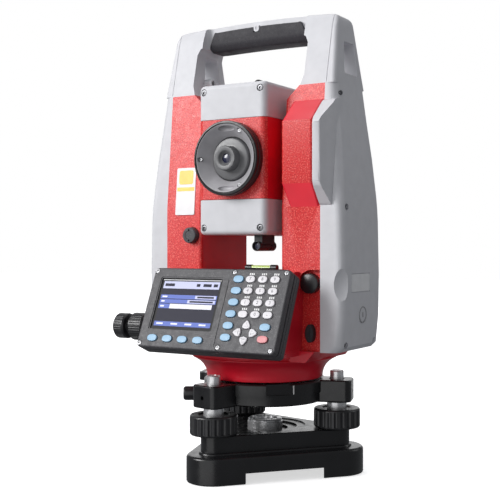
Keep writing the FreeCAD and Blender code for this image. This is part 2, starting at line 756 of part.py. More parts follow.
def telescope():
    z = "tilt_axis_height"
    low = z + " - scope_seam"
    corner = "6"
    plan = [("-scope_half", "-scope_front + " + corner), ("-scope_half + 3", "-scope_front"),
            ("scope_half - 3", "-scope_front"), ("scope_half", "-scope_front + " + corner),
            ("scope_half", "scope_front - " + corner), ("scope_half - 3", "scope_front"),
            ("-scope_half + 3", "scope_front"), ("-scope_half", "scope_front - " + corner)]
    middle = prism("scope_middle", "XY", plan, low, "scope_seam * 2")
    reach = "scope_half - 7"
    bores = [
        rod("scope_focus_recess", "y", "focus_neck + running_fit", "2.5", "0",
            "-scope_front", z),
        rod("scope_barrel_bore", "y", "barrel_radius + running_fit", "30", "0",
            "-scope_front", z),
        rod("scope_objective_bore", "y", "objective_radius - 5", "scope_front", "0", "2", z),
        rod("scope_left_bore", "x", "trunnion_radius", "8", "-scope_half - 1", "0", z),
        rod("scope_right_bore", "x", "trunnion_radius", "8", reach, "0", z),
    ]
    keep("telescope_body", cut("telescope_body_solid", middle, bores))
    caps = []
    for label, sign in (("top", "+"), ("bottom", "-")):
        rings = []
        for out, tall in (("0", "scope_seam"), ("0.3", "scope_tall - 4"), ("3.5", "scope_tall")):
            half = "scope_half - " + out
            deep = "scope_front - " + out
            ring = [("-(%s)" % half, "-(%s) + 6" % deep), ("-(%s) + 3" % half, "-(%s)" % deep),
                    (half + " - 3", "-(%s)" % deep), (half, "-(%s) + 6" % deep),
                    (half, deep + " - 6"), (half + " - 3", deep),
                    ("-(%s) + 3" % half, deep), ("-(%s)" % half, deep + " - 6")]
            rings.append(("%s %s (%s)" % (z, sign, tall), ring))
        caps.append(loft("scope_cap_" + label, rings))
    covers = group("telescope_cover_set", caps)

    ring = turned("focus_ring_solid", "XY", [
        ("focus_radius", "-scope_front - part_gap"), ("focus_radius", "-focus_front + 0.7"),
        ("focus_radius - 0.7", "-focus_front"), ("focus_neck + 2.2", "-focus_front"),
        ("eyepiece_boss + 0.6", "-focus_front + 11.4"), ("focus_neck", "-focus_front + 11.4"),
        ("focus_neck", "-scope_front - part_gap")], Vector(0, 1, 0))
    keep("focus_ring", place(ring, z=z))
    eye = turned("eyepiece_solid", "XY", [
        ("0", "-20"), ("barrel_radius", "-20"), ("barrel_radius", "-focus_front + 11.4"),
        ("eyepiece_boss", "-focus_front + 11.4"), ("eyepiece_boss - 1", "-focus_front + 7.6"),
        ("eyepiece_radius + 0.3", "-focus_front + 7.3"), ("eyepiece_radius", "-focus_front + 0.6"),
        ("eyepiece_radius - 0.6", "-focus_front"), ("5", "-focus_front"),
        ("3.4", "-focus_front + 2"), ("0", "-focus_front + 2")], Vector(0, 1, 0))
    keep("eyepiece", place(eye, z=z))
    cell = turned("objective_cell_solid", "XY", [
        ("objective_radius - 5", "12"), ("objective_radius - 5", "scope_front"),
        ("objective_radius", "scope_front"), ("objective_radius", "objective_rear - 1"),
        ("objective_radius - 1", "objective_rear"), ("objective_radius - 4", "objective_rear"),
        ("objective_radius - 5", "objective_rear - 4"), ("0", "objective_rear - 6"),
        ("0", "objective_rear - 12"), ("objective_radius - 8", "objective_rear - 14"),
        ("objective_radius - 8", "12")], Vector(0, 1, 0))
    keep("objective_cell", place(cell, z=z))
    stubs = []
    for label, start in (("left", "-yoke_outer - 3"), ("right", reach)):
        stub_long = "yoke_outer - scope_half + 10"
        stubs.append(rod("trunnion_" + label, "x", "trunnion_radius", stub_long, start, "0", z))
    keep("trunnion_shaft", group("trunnion_shaft_set", stubs))
    upper_foot = ("-sight_foot / 2", "3 - upper_sight_front", z + " + scope_tall - 7",
                  "sight_foot", "upper_sight_length - 8")
    lower_foot = ("lower_sight_side - sight_foot / 2", "3 - lower_sight_front",
                  z + " - lower_sight_drop + 2.1", "sight_foot", "lower_sight_length - 6",
                  "lower_sight_drop - scope_tall + 1.4")
    upper = fuse("upper_sight", [
        block("upper_sight_foot", *upper_foot, "7.5"),
        rod("upper_sight_tube", "y", "upper_sight_radius", "upper_sight_length", "0",
            "-upper_sight_front", z + " + scope_tall + upper_sight_radius + 0.2")])
    lower = fuse("lower_sight", [
        block("lower_sight_foot", *lower_foot),
        rod("lower_sight_tube", "y", "3.6", "lower_sight_length", "lower_sight_side",
            "-lower_sight_front", z + " - lower_sight_drop")])
    keep("sights", group("sight_set", [upper, lower]))
    rooms = [block("upper_sight_room", *upper_foot, "9"),
             block("lower_sight_room", *lower_foot)]
    screws = []
    for side_sign in ("-", ""):
        for up_sign in ("-", "+"):
            spot = (side_sign + "(scope_half - 5)", "-scope_front + 0.1",
                    "%s %s (scope_tall - 5.5)" % (z, up_sign))
            number = len(screws) + 1
            screws.append(rod("scope_screw_%d" % number, "y", "2.6", "3", *spot))
            rooms.append(rod("scope_screw_room_%d" % number, "y", "2.6", "3", *spot))
    keep("telescope_screws", group("telescope_screw_set", screws))
    keep("telescope_covers", cut("telescope_covers_solid", covers, rooms))


for make in (base_plate, centre_bush, tribrach_body, circular_level, foot_screws, lock_lever,
             yoke_frame, axis_spindle, side_covers, battery_pack, carry_handle, handle_grip,
             display_unit, plate_level, port_plugs, housing_screws, tangent_screws, telescope):
    make()
doc.recompute()

faults = []
for item in doc.Objects:
    if "Invalid" in item.State or "Error" in item.State:
        faults.append("%s: %s" % (item.Name, item.State))
for node, item in parts.items():
    if item.Shape.isNull() or not item.Shape.isValid() or not item.Shape.Solids:
        faults.append(node + ": no valid solid")
if faults:
    print("\n".join(faults))
    sys.exit(1)

os.makedirs("parts", exist_ok=True)
for node, item in parts.items():
    item.Shape.exportStep("parts/%s.step" % node)
print("%d sub-parts" % len(parts))
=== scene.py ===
import json
import math

import bpy
from mathutils import Matrix, Vector

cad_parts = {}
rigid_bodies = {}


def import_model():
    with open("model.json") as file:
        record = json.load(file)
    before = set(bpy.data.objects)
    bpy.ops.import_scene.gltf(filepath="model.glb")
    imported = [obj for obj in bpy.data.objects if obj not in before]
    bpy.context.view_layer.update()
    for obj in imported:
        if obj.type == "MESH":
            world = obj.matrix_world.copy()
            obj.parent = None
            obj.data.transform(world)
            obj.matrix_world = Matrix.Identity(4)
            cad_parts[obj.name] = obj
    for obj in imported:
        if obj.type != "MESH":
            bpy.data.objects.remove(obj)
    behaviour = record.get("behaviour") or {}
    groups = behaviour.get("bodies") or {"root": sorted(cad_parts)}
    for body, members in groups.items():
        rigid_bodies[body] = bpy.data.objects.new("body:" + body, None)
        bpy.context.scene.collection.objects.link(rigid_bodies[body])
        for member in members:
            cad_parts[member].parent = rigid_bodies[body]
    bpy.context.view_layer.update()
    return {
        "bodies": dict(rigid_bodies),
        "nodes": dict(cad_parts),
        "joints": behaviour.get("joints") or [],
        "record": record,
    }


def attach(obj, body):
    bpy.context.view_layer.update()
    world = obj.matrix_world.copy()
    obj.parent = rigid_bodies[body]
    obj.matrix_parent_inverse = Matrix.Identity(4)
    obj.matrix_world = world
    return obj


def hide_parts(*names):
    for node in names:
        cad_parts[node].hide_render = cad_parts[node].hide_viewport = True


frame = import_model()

mm = 0.001
tiltHeight = 235.0
turnTo = {"x": (0, math.pi / 2, 0), "y": (-math.pi / 2, 0, 0), "z": (0, 0, 0)}
bpy.context.scene.view_settings.view_transform = "Standard"


# ways of working at the bench

def putDown():
    if bpy.context.object and bpy.context.object.mode != "OBJECT":
        bpy.ops.object.mode_set(mode="OBJECT")
    bpy.ops.object.select_all(action="DESELECT")


def pickUp(piece):
    putDown()
    piece.select_set(True)
    bpy.context.view_layer.objects.active = piece


def settle(piece):
    pickUp(piece)
    bpy.ops.object.transform_apply(location=True, rotation=True, scale=True)
    return piece


def nameIt(name):
    piece = bpy.context.object
    piece.name = name
    piece.data.name = name
    return piece


def addBlock(name, low, high):
    putDown()
    bpy.ops.mesh.primitive_cube_add(size=1, location=[(a + b) / 2 * mm for a, b in zip(low, high)])
    piece = nameIt(name)
    piece.scale = [(b - a) * mm for a, b in zip(low, high)]
    return settle(piece)


def addRod(name, radius, start, length, axis="z", sides=48, endRadius=None):
    # a rod or a cone that starts at a point and runs along an axis
    putDown()
    along = "xyz".index(axis)
    centre = [value * mm for value in start]
    centre[along] += length / 2 * mm
    bpy.ops.mesh.primitive_cone_add(
        vertices=sides, radius1=radius * mm, depth=length * mm, location=centre,
        radius2=(radius if endRadius is None else endRadius) * mm, rotation=turnTo[axis])
    return settle(nameIt(name))


def drawLine(name, points):
    # one vertex, drawn out from point to point
    putDown()
    bpy.ops.mesh.primitive_plane_add(size=mm)
    piece = nameIt(name)
    bpy.ops.object.mode_set(mode="EDIT")
    bpy.ops.mesh.select_mode(type="VERT")
    bpy.ops.mesh.select_all(action="SELECT")
    bpy.ops.mesh.merge(type="CENTER")
    bpy.ops.transform.translate(value=points[0])
    for before, after in zip(points, points[1:]):
        step = [b - a for a, b in zip(before, after)]
        bpy.ops.mesh.extrude_vertices_move(TRANSFORM_OT_translate={"value": step})
    return piece


def closeSkin():
    bpy.ops.mesh.select_all(action="SELECT")
    bpy.ops.mesh.remove_doubles(threshold=1e-6)
    bpy.ops.mesh.normals_make_consistent(inside=False)
    bpy.ops.object.mode_set(mode="OBJECT")


def turnOnLathe(name, profile, centre=(0, 0, 0), axis="z", steps=96):
    # profile: (radius, height) pairs, closed on itself or ending on the axis
    piece = drawLine(name, [(r * mm, 0, z * mm) for r, z in profile])
    bpy.ops.mesh.select_all(action="SELECT")
    bpy.ops.mesh.spin(steps=steps, angle=math.tau, center=(0, 0, 0), axis=(0, 0, 1))
    closeSkin()
    piece.rotation_euler = turnTo[axis]
    piece.location = [value * mm for value in centre]
    return settle(piece)


def cutFromSheet(name, outline, plane, start, end):
    # a closed outline in a plane, filled and drawn out to a thickness
    spots = {"XY": lambda u, v, w: (u, v, w), "XZ": lambda u, v, w: (u, w, v),
             "YZ": lambda u, v, w: (w, u, v)}[plane]
    piece = drawLine(name, [spots(u * mm, v * mm, start * mm) for u, v in outline])
    bpy.ops.mesh.select_all(action="SELECT")
    bpy.ops.mesh.edge_face_add()
    bpy.ops.mesh.extrude_region_move(
        TRANSFORM_OT_translate={"value": spots(0, 0, (end - start) * mm)})
    closeSkin()
    return piece


def chooseEdges(piece, test):
    # leaves the piece in edit mode with the edges whose two ends pass the test
    pickUp(piece)
    bpy.ops.object.mode_set(mode="EDIT")
    bpy.ops.mesh.select_mode(type="EDGE")
    bpy.ops.mesh.select_all(action="DESELECT")
    bpy.ops.object.mode_set(mode="OBJECT")
    spots = [vertex.co / mm for vertex in piece.data.vertices]
    for edge in piece.data.edges:
        edge.select = bool(test(spots[edge.vertices[0]], spots[edge.vertices[1]]))
    bpy.ops.object.mode_set(mode="EDIT")


def chooseFaces(piece, test):
    # leaves the piece in edit mode with the faces whose centre and normal pass the test
    pickUp(piece)
    bpy.ops.object.mode_set(mode="EDIT")
    bpy.ops.mesh.select_mode(type="FACE")
    bpy.ops.mesh.select_all(action="DESELECT")
    bpy.ops.object.mode_set(mode="OBJECT")
    for face in piece.data.polygons:
        face.select = bool(test(face.center / mm, face.normal))
    bpy.ops.object.mode_set(mode="EDIT")


def roundEdges(piece, width, test, segments=4):
    chooseEdges(piece, test)
    bpy.ops.mesh.bevel(offset=width * mm, segments=segments, affect="EDGES", clamp_overlap=True)
    bpy.ops.object.mode_set(mode="OBJECT")
    return piece


def fit(piece, kind, name="work", **settings):
    # adds a modifier and applies it
    pickUp(piece)
    modifier = piece.modifiers.new(name, kind)
    for key, value in settings.items():
        setattr(modifier, key, value)
    bpy.ops.object.modifier_apply(modifier=name)
    return piece


def breakEdges(piece, width=0.6, segments=2, angle=30):
    # a small round on every sharp edge
    return fit(piece, "BEVEL", width=width * mm, segments=segments, limit_method="ANGLE",
               angle_limit=math.radians(angle), use_clamp_overlap=True, miter_outer="MITER_ARC")


def boolean(piece, tools, operation):
    for tool in tools:
        fit(piece, "BOOLEAN", operation=operation, object=tool, solver="EXACT")
        bpy.data.objects.remove(tool, do_unlink=True)
    pickUp(piece)
    bpy.ops.object.mode_set(mode="EDIT")
    bpy.ops.mesh.select_all(action="SELECT")
    bpy.ops.mesh.remove_doubles(threshold=2e-6)
    bpy.ops.mesh.dissolve_degenerate(threshold=1e-6)
    bpy.ops.object.mode_set(mode="OBJECT")
    return piece


def carve(piece, *tools):
    return boolean(piece, tools, "DIFFERENCE")


def weld(piece, *others):
    return boolean(piece, others, "UNION")


def gather(name, *loose):
    # several loose shells kept as one piece
    pickUp(loose[0])
    for other in loose[1:]:
        other.select_set(True)
    if len(loose) > 1:
        bpy.ops.object.join()
    return nameIt(name)


def copyOf(piece, name):
    twin = piece.copy()
    twin.data = piece.data.copy()
    twin.name = name
    twin.data.name = name
    bpy.context.collection.objects.link(twin)
    return twin


def moveTo(piece, move=(0, 0, 0), turn=None):
    # turn is a 4x4 matrix used about the origin before the move
    piece.matrix_world = Matrix.Translation([value * mm for value in move]) @ (turn or Matrix())
    bpy.context.view_layer.update()
    return settle(piece)


def flipAcross(piece, name):
    # the left-hand twin of a right-hand piece
    twin = copyOf(piece, name)
    twin.scale = (-1, 1, 1)
    settle(twin)
    bpy.ops.object.mode_set(mode="EDIT")
    bpy.ops.mesh.select_all(action="SELECT")
    bpy.ops.mesh.normals_make_consistent(inside=False)
    bpy.ops.object.mode_set(mode="OBJECT")
    return twin


def smooth(piece, angle=35):
    # big flat faces keep their own normals, small rounds take up the turn
    pickUp(piece)
    bpy.ops.object.shade_smooth_by_angle(angle=math.radians(angle))
    return fit(piece, "WEIGHTED_NORMAL", weight=50, keep_sharp=True)


def finishPiece(piece, finish, body, slot, *nodes, angle=35):
    # last look at a piece: shading, finish, the body it rides on and the node it stands for
    smooth(piece, angle)
    if finish:
        piece.data.materials.clear()
        piece.data.materials.append(finish)
    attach(piece, body)
    if nodes:
        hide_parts(*nodes)
    return piece


def aroundAxis(radius, degrees, height=0.0):
    turn = math.radians(degrees)
    return (radius * math.cos(turn), radius * math.sin(turn), height)


# finishes

def newFinish(name, colour, roughness, metallic=0.0, coat=0.0, coatRoughness=0.1):
    finish = bpy.data.materials.new(name)
    finish.use_nodes = True
    shader = finish.node_tree.nodes["Principled BSDF"]
    shader.inputs["Base Color"].default_value = (*colour, 1)
    shader.inputs["Roughness"].default_value = roughness
    shader.inputs["Metallic"].default_value = metallic
    shader.inputs["Coat Weight"].default_value = coat
    shader.inputs["Coat Roughness"].default_value = coatRoughness
    return finish


def grainField(finish, size, stretch=(1, 1, 1), detail=2.0):
    # noise whose grains are about size millimetres across
    nodes = finish.node_tree.nodes
    links = finish.node_tree.links
    place = nodes.new("ShaderNodeTexCoord")
    mapping = nodes.new("ShaderNodeMapping")
    mapping.inputs["Scale"].default_value = stretch
    noise = nodes.new("ShaderNodeTexNoise")
    noise.inputs["Scale"].default_value = 1 / (size * mm)
    noise.inputs["Detail"].default_value = detail
    links.new(place.outputs["Object"], mapping.inputs["Vector"])
    links.new(mapping.outputs["Vector"], noise.inputs["Vector"])
    return noise.outputs["Fac"]


def addBump(finish, field, height, strength=1.0):
    nodes = finish.node_tree.nodes
    links = finish.node_tree.links
    shader = nodes["Principled BSDF"]
    bump = nodes.new("ShaderNodeBump")
    bump.inputs["Distance"].default_value = height * mm
    bump.inputs["Strength"].default_value = strength
    links.new(field, bump.inputs["Height"])
    earlier = shader.inputs["Normal"].links
    if earlier:
        links.new(earlier[0].from_socket, bump.inputs["Normal"])
    links.new(bump.outputs["Normal"], shader.inputs["Normal"])


def spread(finish, field, socket, stops):
    # a ramp from a field to a socket; stops are (place, colour or grey)
    nodes = finish.node_tree.nodes
    links = finish.node_tree.links
    ramp = nodes.new("ShaderNodeValToRGB")
    while len(ramp.color_ramp.elements) < len(stops):
        ramp.color_ramp.elements.new(0.5)
    for element, (place, colour) in zip(ramp.color_ramp.elements, stops):
        element.position = place
        element.color = (*colour, 1) if isinstance(colour, tuple) else (colour, colour, colour, 1)
    links.new(field, ramp.inputs["Fac"])
    links.new(ramp.outputs["Color"], nodes["Principled BSDF"].inputs[socket])


def shades(colour, amount):
    return (tuple(max(0.0, value * (1 - amount)) for value in colour),
            tuple(min(1.0, value * (1 + amount)) for value in colour))


def paintFinish(name, colour, peel, height, roughness, coat=0.15, variation=0.08):
    # enamel or moulded plastic with an orange-peel surface
    finish = newFinish(name, colour, roughness, coat=coat, coatRoughness=0.25)
    low, high = shades(colour, variation)
    spread(finish, grainField(finish, peel * 14), "Base Color", ((0.3, low), (0.7, high)))
    spread(finish, grainField(finish, peel * 5), "Roughness",
           ((0.3, roughness - 0.05), (0.7, roughness + 0.07)))
    addBump(finish, grainField(finish, peel), height)
    return finish


def raisedHighlightFinish(name, colour, raisedHighlight, roughness, height=0.04):
    # textured plastic whose raised grains are coloured lighter, a painted highlight where they catch the light
    finish = newFinish(name, colour, roughness)
    field = grainField(finish, 0.55, detail=1.0)
    spread(finish, field, "Base Color", ((0.35, colour), (0.58, colour), (0.72, raisedHighlight)))
    spread(finish, grainField(finish, 3), "Roughness", ((0.3, roughness - 0.06), (0.7, roughness + 0.06)))
    addBump(finish, field, height)
    return finish


def metalFinish(name, colour, roughness, brush, metallic=1.0):
    # machined steel with fine lines along the brush direction
    finish = newFinish(name, colour, roughness, metallic=metallic)
    lines = grainField(finish, 0.5, stretch=brush)
    spread(finish, lines, "Roughness", ((0.3, roughness - 0.06), (0.7, roughness + 0.12)))
    low, high = shades(colour, 0.08)
    spread(finish, grainField(finish, 4), "Base Color", ((0.3, low), (0.7, high)))
    addBump(finish, lines, 0.006)
    return finish


def grainedPaint(name, colour, topHighlight, grain, height, roughness):
    # enamel over a coarse grain; its colour follows the grain's height, lighter on the tops as a painted highlight and
    # darker in the pits as painted shade
    finish = paintFinish(name, colour, grain, height, roughness, coat=0.1)
    low, _ = shades(colour, 0.25)
    spread(finish, grainField(finish, grain), "Base Color",
           ((0.36, low), (0.47, colour), (0.54, colour), (0.66, topHighlight)))
    return finish


# the red's lighter grain colour is a painted highlight on the grain tops, its darker one painted shade in the pits
redPaint = grainedPaint("redPaint", (0.76, 0.022, 0.024), (0.88, 0.16, 0.13), 0.95, 0.20, 0.38)
# the smooth red is partly a real smooth finish and partly painted shade: a cooler crimson tint
smoothRedShadeTint = paintFinish("smoothRedShadeTint", (0.76, 0.012, 0.032), 2.5, 0.02, 0.33, coat=0.08)
greyPlastic = paintFinish("greyPlastic", (0.66, 0.66, 0.69), 0.6, 0.035, 0.50, coat=0.0, variation=0.03)
# the charcoal and the grip rubber carry a painted highlight on their raised grains
charcoal = raisedHighlightFinish("charcoalPlastic", (0.056, 0.054, 0.060), (0.16, 0.16, 0.17), 0.50)
castBlack = paintFinish("castBlack", (0.008, 0.008, 0.009), 1.6, 0.05, 0.28, coat=0.15, variation=0.25)
blackPlastic = paintFinish("blackPlastic", (0.017, 0.017, 0.019), 0.7, 0.02, 0.34, coat=0.1, variation=0.2)
gripRubber = raisedHighlightFinish("gripRubber", (0.030, 0.028, 0.034), (0.06, 0.058, 0.066), 0.66, 0.06)
steel = metalFinish("turnedSteel", (0.88, 0.88, 0.89), 0.30, (1, 1, 12), 0.75)
keyBlue = paintFinish("keyBlue", (0.29, 0.50, 0.70), 0.8, 0.015, 0.48, variation=0.05)
keyWhite = paintFinish("keyWhite", (0.74, 0.72, 0.75), 0.8, 0.015, 0.48, variation=0.04)
keyRed = paintFinish("keyRed", (0.74, 0.27, 0.29), 0.8, 0.015, 0.48, variation=0.05)
legendWhite = paintFinish("legendWhite", (0.80, 0.80, 0.80), 0.3, 0.005, 0.6, variation=0.05)
plateYellow = paintFinish("plateYellow", (0.86, 0.62, 0.05), 0.5, 0.008, 0.35, variation=0.05)
plateWhite = paintFinish("plateWhite", (0.80, 0.79, 0.80), 0.5, 0.008, 0.35, variation=0.03)
print("finishes ready")


# tribrach

footAngles = (18.7, 138.7, 258.7)
tribrach = {
    "footCircle": 56, "footHeight": 8, "cornerRadius": 20, "plateTop": 20,
    "ribCorner": 9.5, "ribTop": 33.5, "wellRadius": 35.8, "wellFloor": 29.5, "footEdge": 50,
    "bodyLow": 53.8, "bodyTop": 70.5, "discRadius": 47, "lobeHalf": 12, "lobeCorner": 5,
    "knobLow": 34, "knobTop": 48.7, "knobRadius": 17.6, "flutes": 22, "fluteRadius": 1.75,
    "collarRadius": 7.5, "stemRadius": 4.5, "capTop": 77,
    "levelAngle": 177, "levelPlace": 53, "levelRadius": 6.5, "leverAngle": 214, "leverHeight": 58, "indexAngle": -32.8,
}


def threeSided(name, corner, low, high, sides=10):
    # a triangular plate with round corners about the foot screws
    outline = []
    for angle in footAngles:
        x, y, _ = aroundAxis(tribrach["footCircle"], angle)
        for step in range(sides + 1):
            dx, dy, _ = aroundAxis(corner, angle - 60 + 120 * step / sides)
            outline.append((x + dx, y + dy))
    return cutFromSheet(name, outline, "XY", low, high)


def makeBasePlate():
    t = tribrach
    lower = threeSided("basePlate", t["cornerRadius"], 0, t["plateTop"], 16)
    roundEdges(lower, 2.4, lambda a, b: min(a.z, b.z) > t["plateTop"] - 0.1, 4)
    roundEdges(lower, 1.2, lambda a, b: max(a.z, b.z) < 0.1, 2)
    # under the plate only its three corners reach the ground
    for angle in footAngles:
        turn = Matrix.Rotation(math.radians(angle + 60), 4, "Z")
        gap = addBlock("gap", (-t["footCircle"], -40, -5), (80, 40, t["footHeight"]))
        carve(lower, moveTo(gap, turn=turn))
    for angle in footAngles:
        turn = Matrix.Rotation(math.radians(angle), 4, "Z")
        corner = threeSided("corner", t["cornerRadius"], 0, t["footHeight"] + 1, 16)
        roundEdges(corner, 1.2, lambda a, b: max(a.z, b.z) < 0.1, 2)
        zone = moveTo(addBlock("zone", (t["footEdge"], -50, -5), (90, 50, 40)), turn=turn)
        boolean(corner, [zone], "INTERSECT")
        weld(lower, corner)
    upper = threeSided("baseTier", t["ribCorner"], t["plateTop"] - 1, t["ribTop"], 16)
    roundEdges(upper, 1.0, lambda a, b: min(a.z, b.z) > t["ribTop"] - 0.1, 3)
    fillet = threeSided("baseFillet", t["ribCorner"] + 1.6, t["plateTop"] - 1, t["plateTop"] + 1.6, 16)
    roundEdges(fillet, 1.5, lambda a, b: min(a.z, b.z) > t["plateTop"] + 1.5, 3)
    piece = weld(lower, upper, fillet)
    # shallow round steps about the bush
    rings = [turnOnLathe("ringStep", [(inner, floor), (outer, floor), (outer + 0.4, t["ribTop"] + 1),
                                      (inner, t["ribTop"] + 1)], steps=128)
             for inner, outer, floor in ((10, 17.5, t["wellFloor"]), (17, 24.5, 31.2), (24, 31, 32.6))]
    sockets = [addRod("socket", 5.2, aroundAxis(t["footCircle"], angle, 14), 30) for angle in footAngles]
    for cutter in rings + sockets:
        carve(piece, cutter)
    carve(piece, addRod("bush", 11.05, (0, 0, -1), 60))
    breakEdges(piece, 0.7, 3, 40)
    finishPiece(piece, castBlack, "tribrach", "tribrach_black", "base_plate")


def makeCentreBush():
    profile = [(6.75, 0), (10.9, 0), (10.9, 29.6), (13.0, 29.6), (13.5, 30.1), (13.5, 36.6), (13.0, 37.0),
               (13.0, 38.2), (12.4, 39), (9.6, 39), (9.2, 38.2), (9.0, 36.6), (7.6, 36.4)]
    for turn in range(12):
        height = 35.4 - turn * 2.8
        profile += [(7.5, height), (6.75, height - 1.4)]
    piece = turnOnLathe("centreBush", profile + [(6.75, 0)], steps=64)
    slots = [addBlock("slot", (7, -1.1, 36.9), (15, 1.1, 41))]
    for step in range(1, 6):
        turn = Matrix.Rotation(math.tau * step / 6, 4, "Z")
        slots.append(moveTo(copyOf(slots[0], "slot%d" % step), turn=turn))
    carve(piece, gather("bushSlots", *slots))
    breakEdges(piece, 0.15, 2, 40)
    finishPiece(piece, steel, "tribrach", "bright_steel", "centre_bush")


def makeTribrachBody():
    t = tribrach
    thick = t["bodyTop"] - t["bodyLow"]
    low = t["bodyLow"]
    disc = turnOnLathe("tribrachBody", [
        (12.2, low), (t["discRadius"] - 3, low), (t["discRadius"] - 0.8, low + 1.2),
        (t["discRadius"] - 0.8, low + thick * 0.42), (t["discRadius"], low + thick * 0.5),
        (t["discRadius"], low + thick - 1), (t["discRadius"] - 1, low + thick),
        (12.2, low + thick), (12.2, low)], steps=128)
    lobes = []
    for angle in footAngles:
        lobe = addBlock("lobe", (30, -t["lobeHalf"], low), (t["footCircle"] + t["lobeHalf"],
                                                         t["lobeHalf"], low + thick))
        roundEdges(lobe, t["lobeCorner"], lambda a, b: abs(a.z - b.z) > 5 and a.x > 60, 5)
        roundEdges(lobe, 1.3, lambda a, b: abs(a.z - b.z) < 0.1 and max(a.x, b.x) > 40, 3)
        moveTo(lobe, turn=Matrix.Rotation(math.radians(angle), 4, "Z"))
        lobes.append(lobe)
    boss = addRod("levelBoss", 8.5, aroundAxis(t["levelPlace"], t["levelAngle"], 64.3), 6.2, sides=48)
    piece = weld(disc, boss, *lobes)
    holes = [addRod("hole", 6.0, aroundAxis(t["footCircle"], angle, 69.3), 5) for angle in footAngles]
    holes += [addRod("bore", 4.8, aroundAxis(t["footCircle"], angle, 50), 30) for angle in footAngles]
    holes.append(addRod("levelSeat", 6.6, aroundAxis(t["levelPlace"], t["levelAngle"], 66), 10))
    for angle in footAngles:
        # the set screw's small round hole in the outer face of a lobe
        hole = addRod("setScrewHole", 1.5, (t["footCircle"] + 9, 0, 61.5), 6, "x", 24)
        holes.append(moveTo(hole, turn=Matrix.Rotation(math.radians(angle), 4, "Z")))
    # a shallow window recess beside the index line
    recess = addBlock("recess", (45.4, -9, 62.5), (52, 9, 76))
    holes.append(moveTo(recess, turn=Matrix.Rotation(math.radians(t["indexAngle"] - 14.5), 4, "Z")))
    carve(piece, *holes)
    breakEdges(piece, 0.5, 2, 40)
    finishPiece(piece, castBlack, "tribrach", "tribrach_black", "tribrach_body")
    mark = addBlock("indexMark", (46.6, -0.45, 63), (47.15, 0.45, 69.3))
    breakEdges(mark, 0.15, 2)
    moveTo(mark, turn=Matrix.Rotation(math.radians(t["indexAngle"]), 4, "Z"))
    finishPiece(mark, legendWhite, "tribrach", "tribrach_black")


def makeCircularLevel():
    t = tribrach
    centre = aroundAxis(t["levelPlace"], t["levelAngle"], 0)
    cup = turnOnLathe("circularLevel", [
        (0, 66.1), (6.3, 66.1), (6.4, 71.2), (6.0, 71.7), (5.2, 71.7), (5.0, 70.8), (4.8, 69.6),
        (0, 69.6)], centre, steps=48)
    finishPiece(cup, steel, "tribrach", "bright_steel", "circular_level")
    vial = turnOnLathe("levelGlass", [(0, 69.7), (4.7, 69.7), (4.8, 70.6), (3.6, 71.2), (0, 71.5)],
                       centre, steps=48)
    finishPiece(vial, levelLiquid, "tribrach", "bright_steel", angle=60)
    bubble = turnOnLathe("levelBubble", [(0, 71.1), (1.3, 71.2), (1.55, 71.42), (1.2, 71.56), (0, 71.6)],
                         centre, steps=32)
    finishPiece(bubble, plateWhite, "tribrach", "bright_steel", angle=60)


def makeFootScrews():
    t = tribrach
    knob = addRod("footKnob", t["knobRadius"], (0, 0, t["knobLow"]), t["knobTop"] - t["knobLow"],
                  sides=160)
    roundEdges(knob, 1.6, lambda a, b: abs(a.z - b.z) < 0.1, 3)
    cutter = addRod("flute", t["fluteRadius"], (t["knobRadius"] + 0.6, 0, t["knobLow"] + 1.6),
                    t["knobTop"] - t["knobLow"] - 3.2, sides=16)
    flutes = [cutter]
    for step in range(1, t["flutes"]):
        turn = Matrix.Rotation(math.tau * step / t["flutes"], 4, "Z")
        flutes.append(moveTo(copyOf(cutter, "flute%d" % step), turn=turn))
    carve(knob, gather("allFlutes", *flutes))
    carve(knob, turnOnLathe("knobDish", [(0, 47.6), (10.5, 47.6), (12.5, 49.5), (0, 49.5)], steps=64))
    metal = turnOnLathe("footMetal", [
        (0, 14), (3.2, 14), (4.5, 15.5), (4.5, 47), (7.5, 47), (7.5, 52.9), (7.1, 53.4), (4.5, 53.4),
        (4.5, 69.6), (5.2, 69.6), (5.2, 76.2), (4.6, 77), (1.9, 77), (1.7, 76), (0, 76)], steps=64)
    slot = addBlock("slot", (-6, -0.6, 75.8), (6, 0.6, 78))
    carve(metal, slot)
    for number, angle in enumerate(footAngles, start=1):
        place = aroundAxis(t["footCircle"], angle)
        body = "foot_%d" % number
        grip = moveTo(copyOf(knob, "footKnob%d" % number), place)
        finishPiece(grip, blackPlastic, body, "black_plastic", "foot_screw_%d" % number)
        stem = moveTo(copyOf(metal, "footSpindle%d" % number), place)
        finishPiece(stem, steel, body, "bright_steel")
    for pattern in (knob, metal):
        bpy.data.objects.remove(pattern, do_unlink=True)


def makeLockLever():
    t = tribrach
    turn = Matrix.Rotation(math.radians(t["leverAngle"]), 4, "Z")
    hub = turnOnLathe("lockLever", [
        (0, 36), (3, 36), (3, 48), (5.0, 48), (5.4, 48.6), (5.4, 53), (4.9, 53.4), (4.9, 54.2),
        (5.4, 54.6), (5.4, 61.4), (4.6, 62.7), (3.6, 63), (0, 63)],
        axis="x", steps=48)
    wing = addBlock("leverWing", (50.5, -1.9, -5.35), (62.4, 1.9, 5.35))
    roundEdges(wing, 1.5, lambda a, b: True, 3)
    piece = weld(hub, wing)
    breakEdges(piece, 0.3, 2, 40)
    moveTo(piece, (0, 0, t["leverHeight"]), turn)
    finishPiece(piece, blackPlastic, "lever", "black_plastic", "lock_lever")


levelLiquid = paintFinish("levelLiquid", (0.55, 0.72, 0.18), 2, 0.002, 0.08, coat=0.6, variation=0.05)
for make in (makeBasePlate, makeCentreBush, makeTribrachBody, makeCircularLevel, makeFootScrews,
             makeLockLever):
    make()
print("tribrach ready")


# yoke, covers and handle

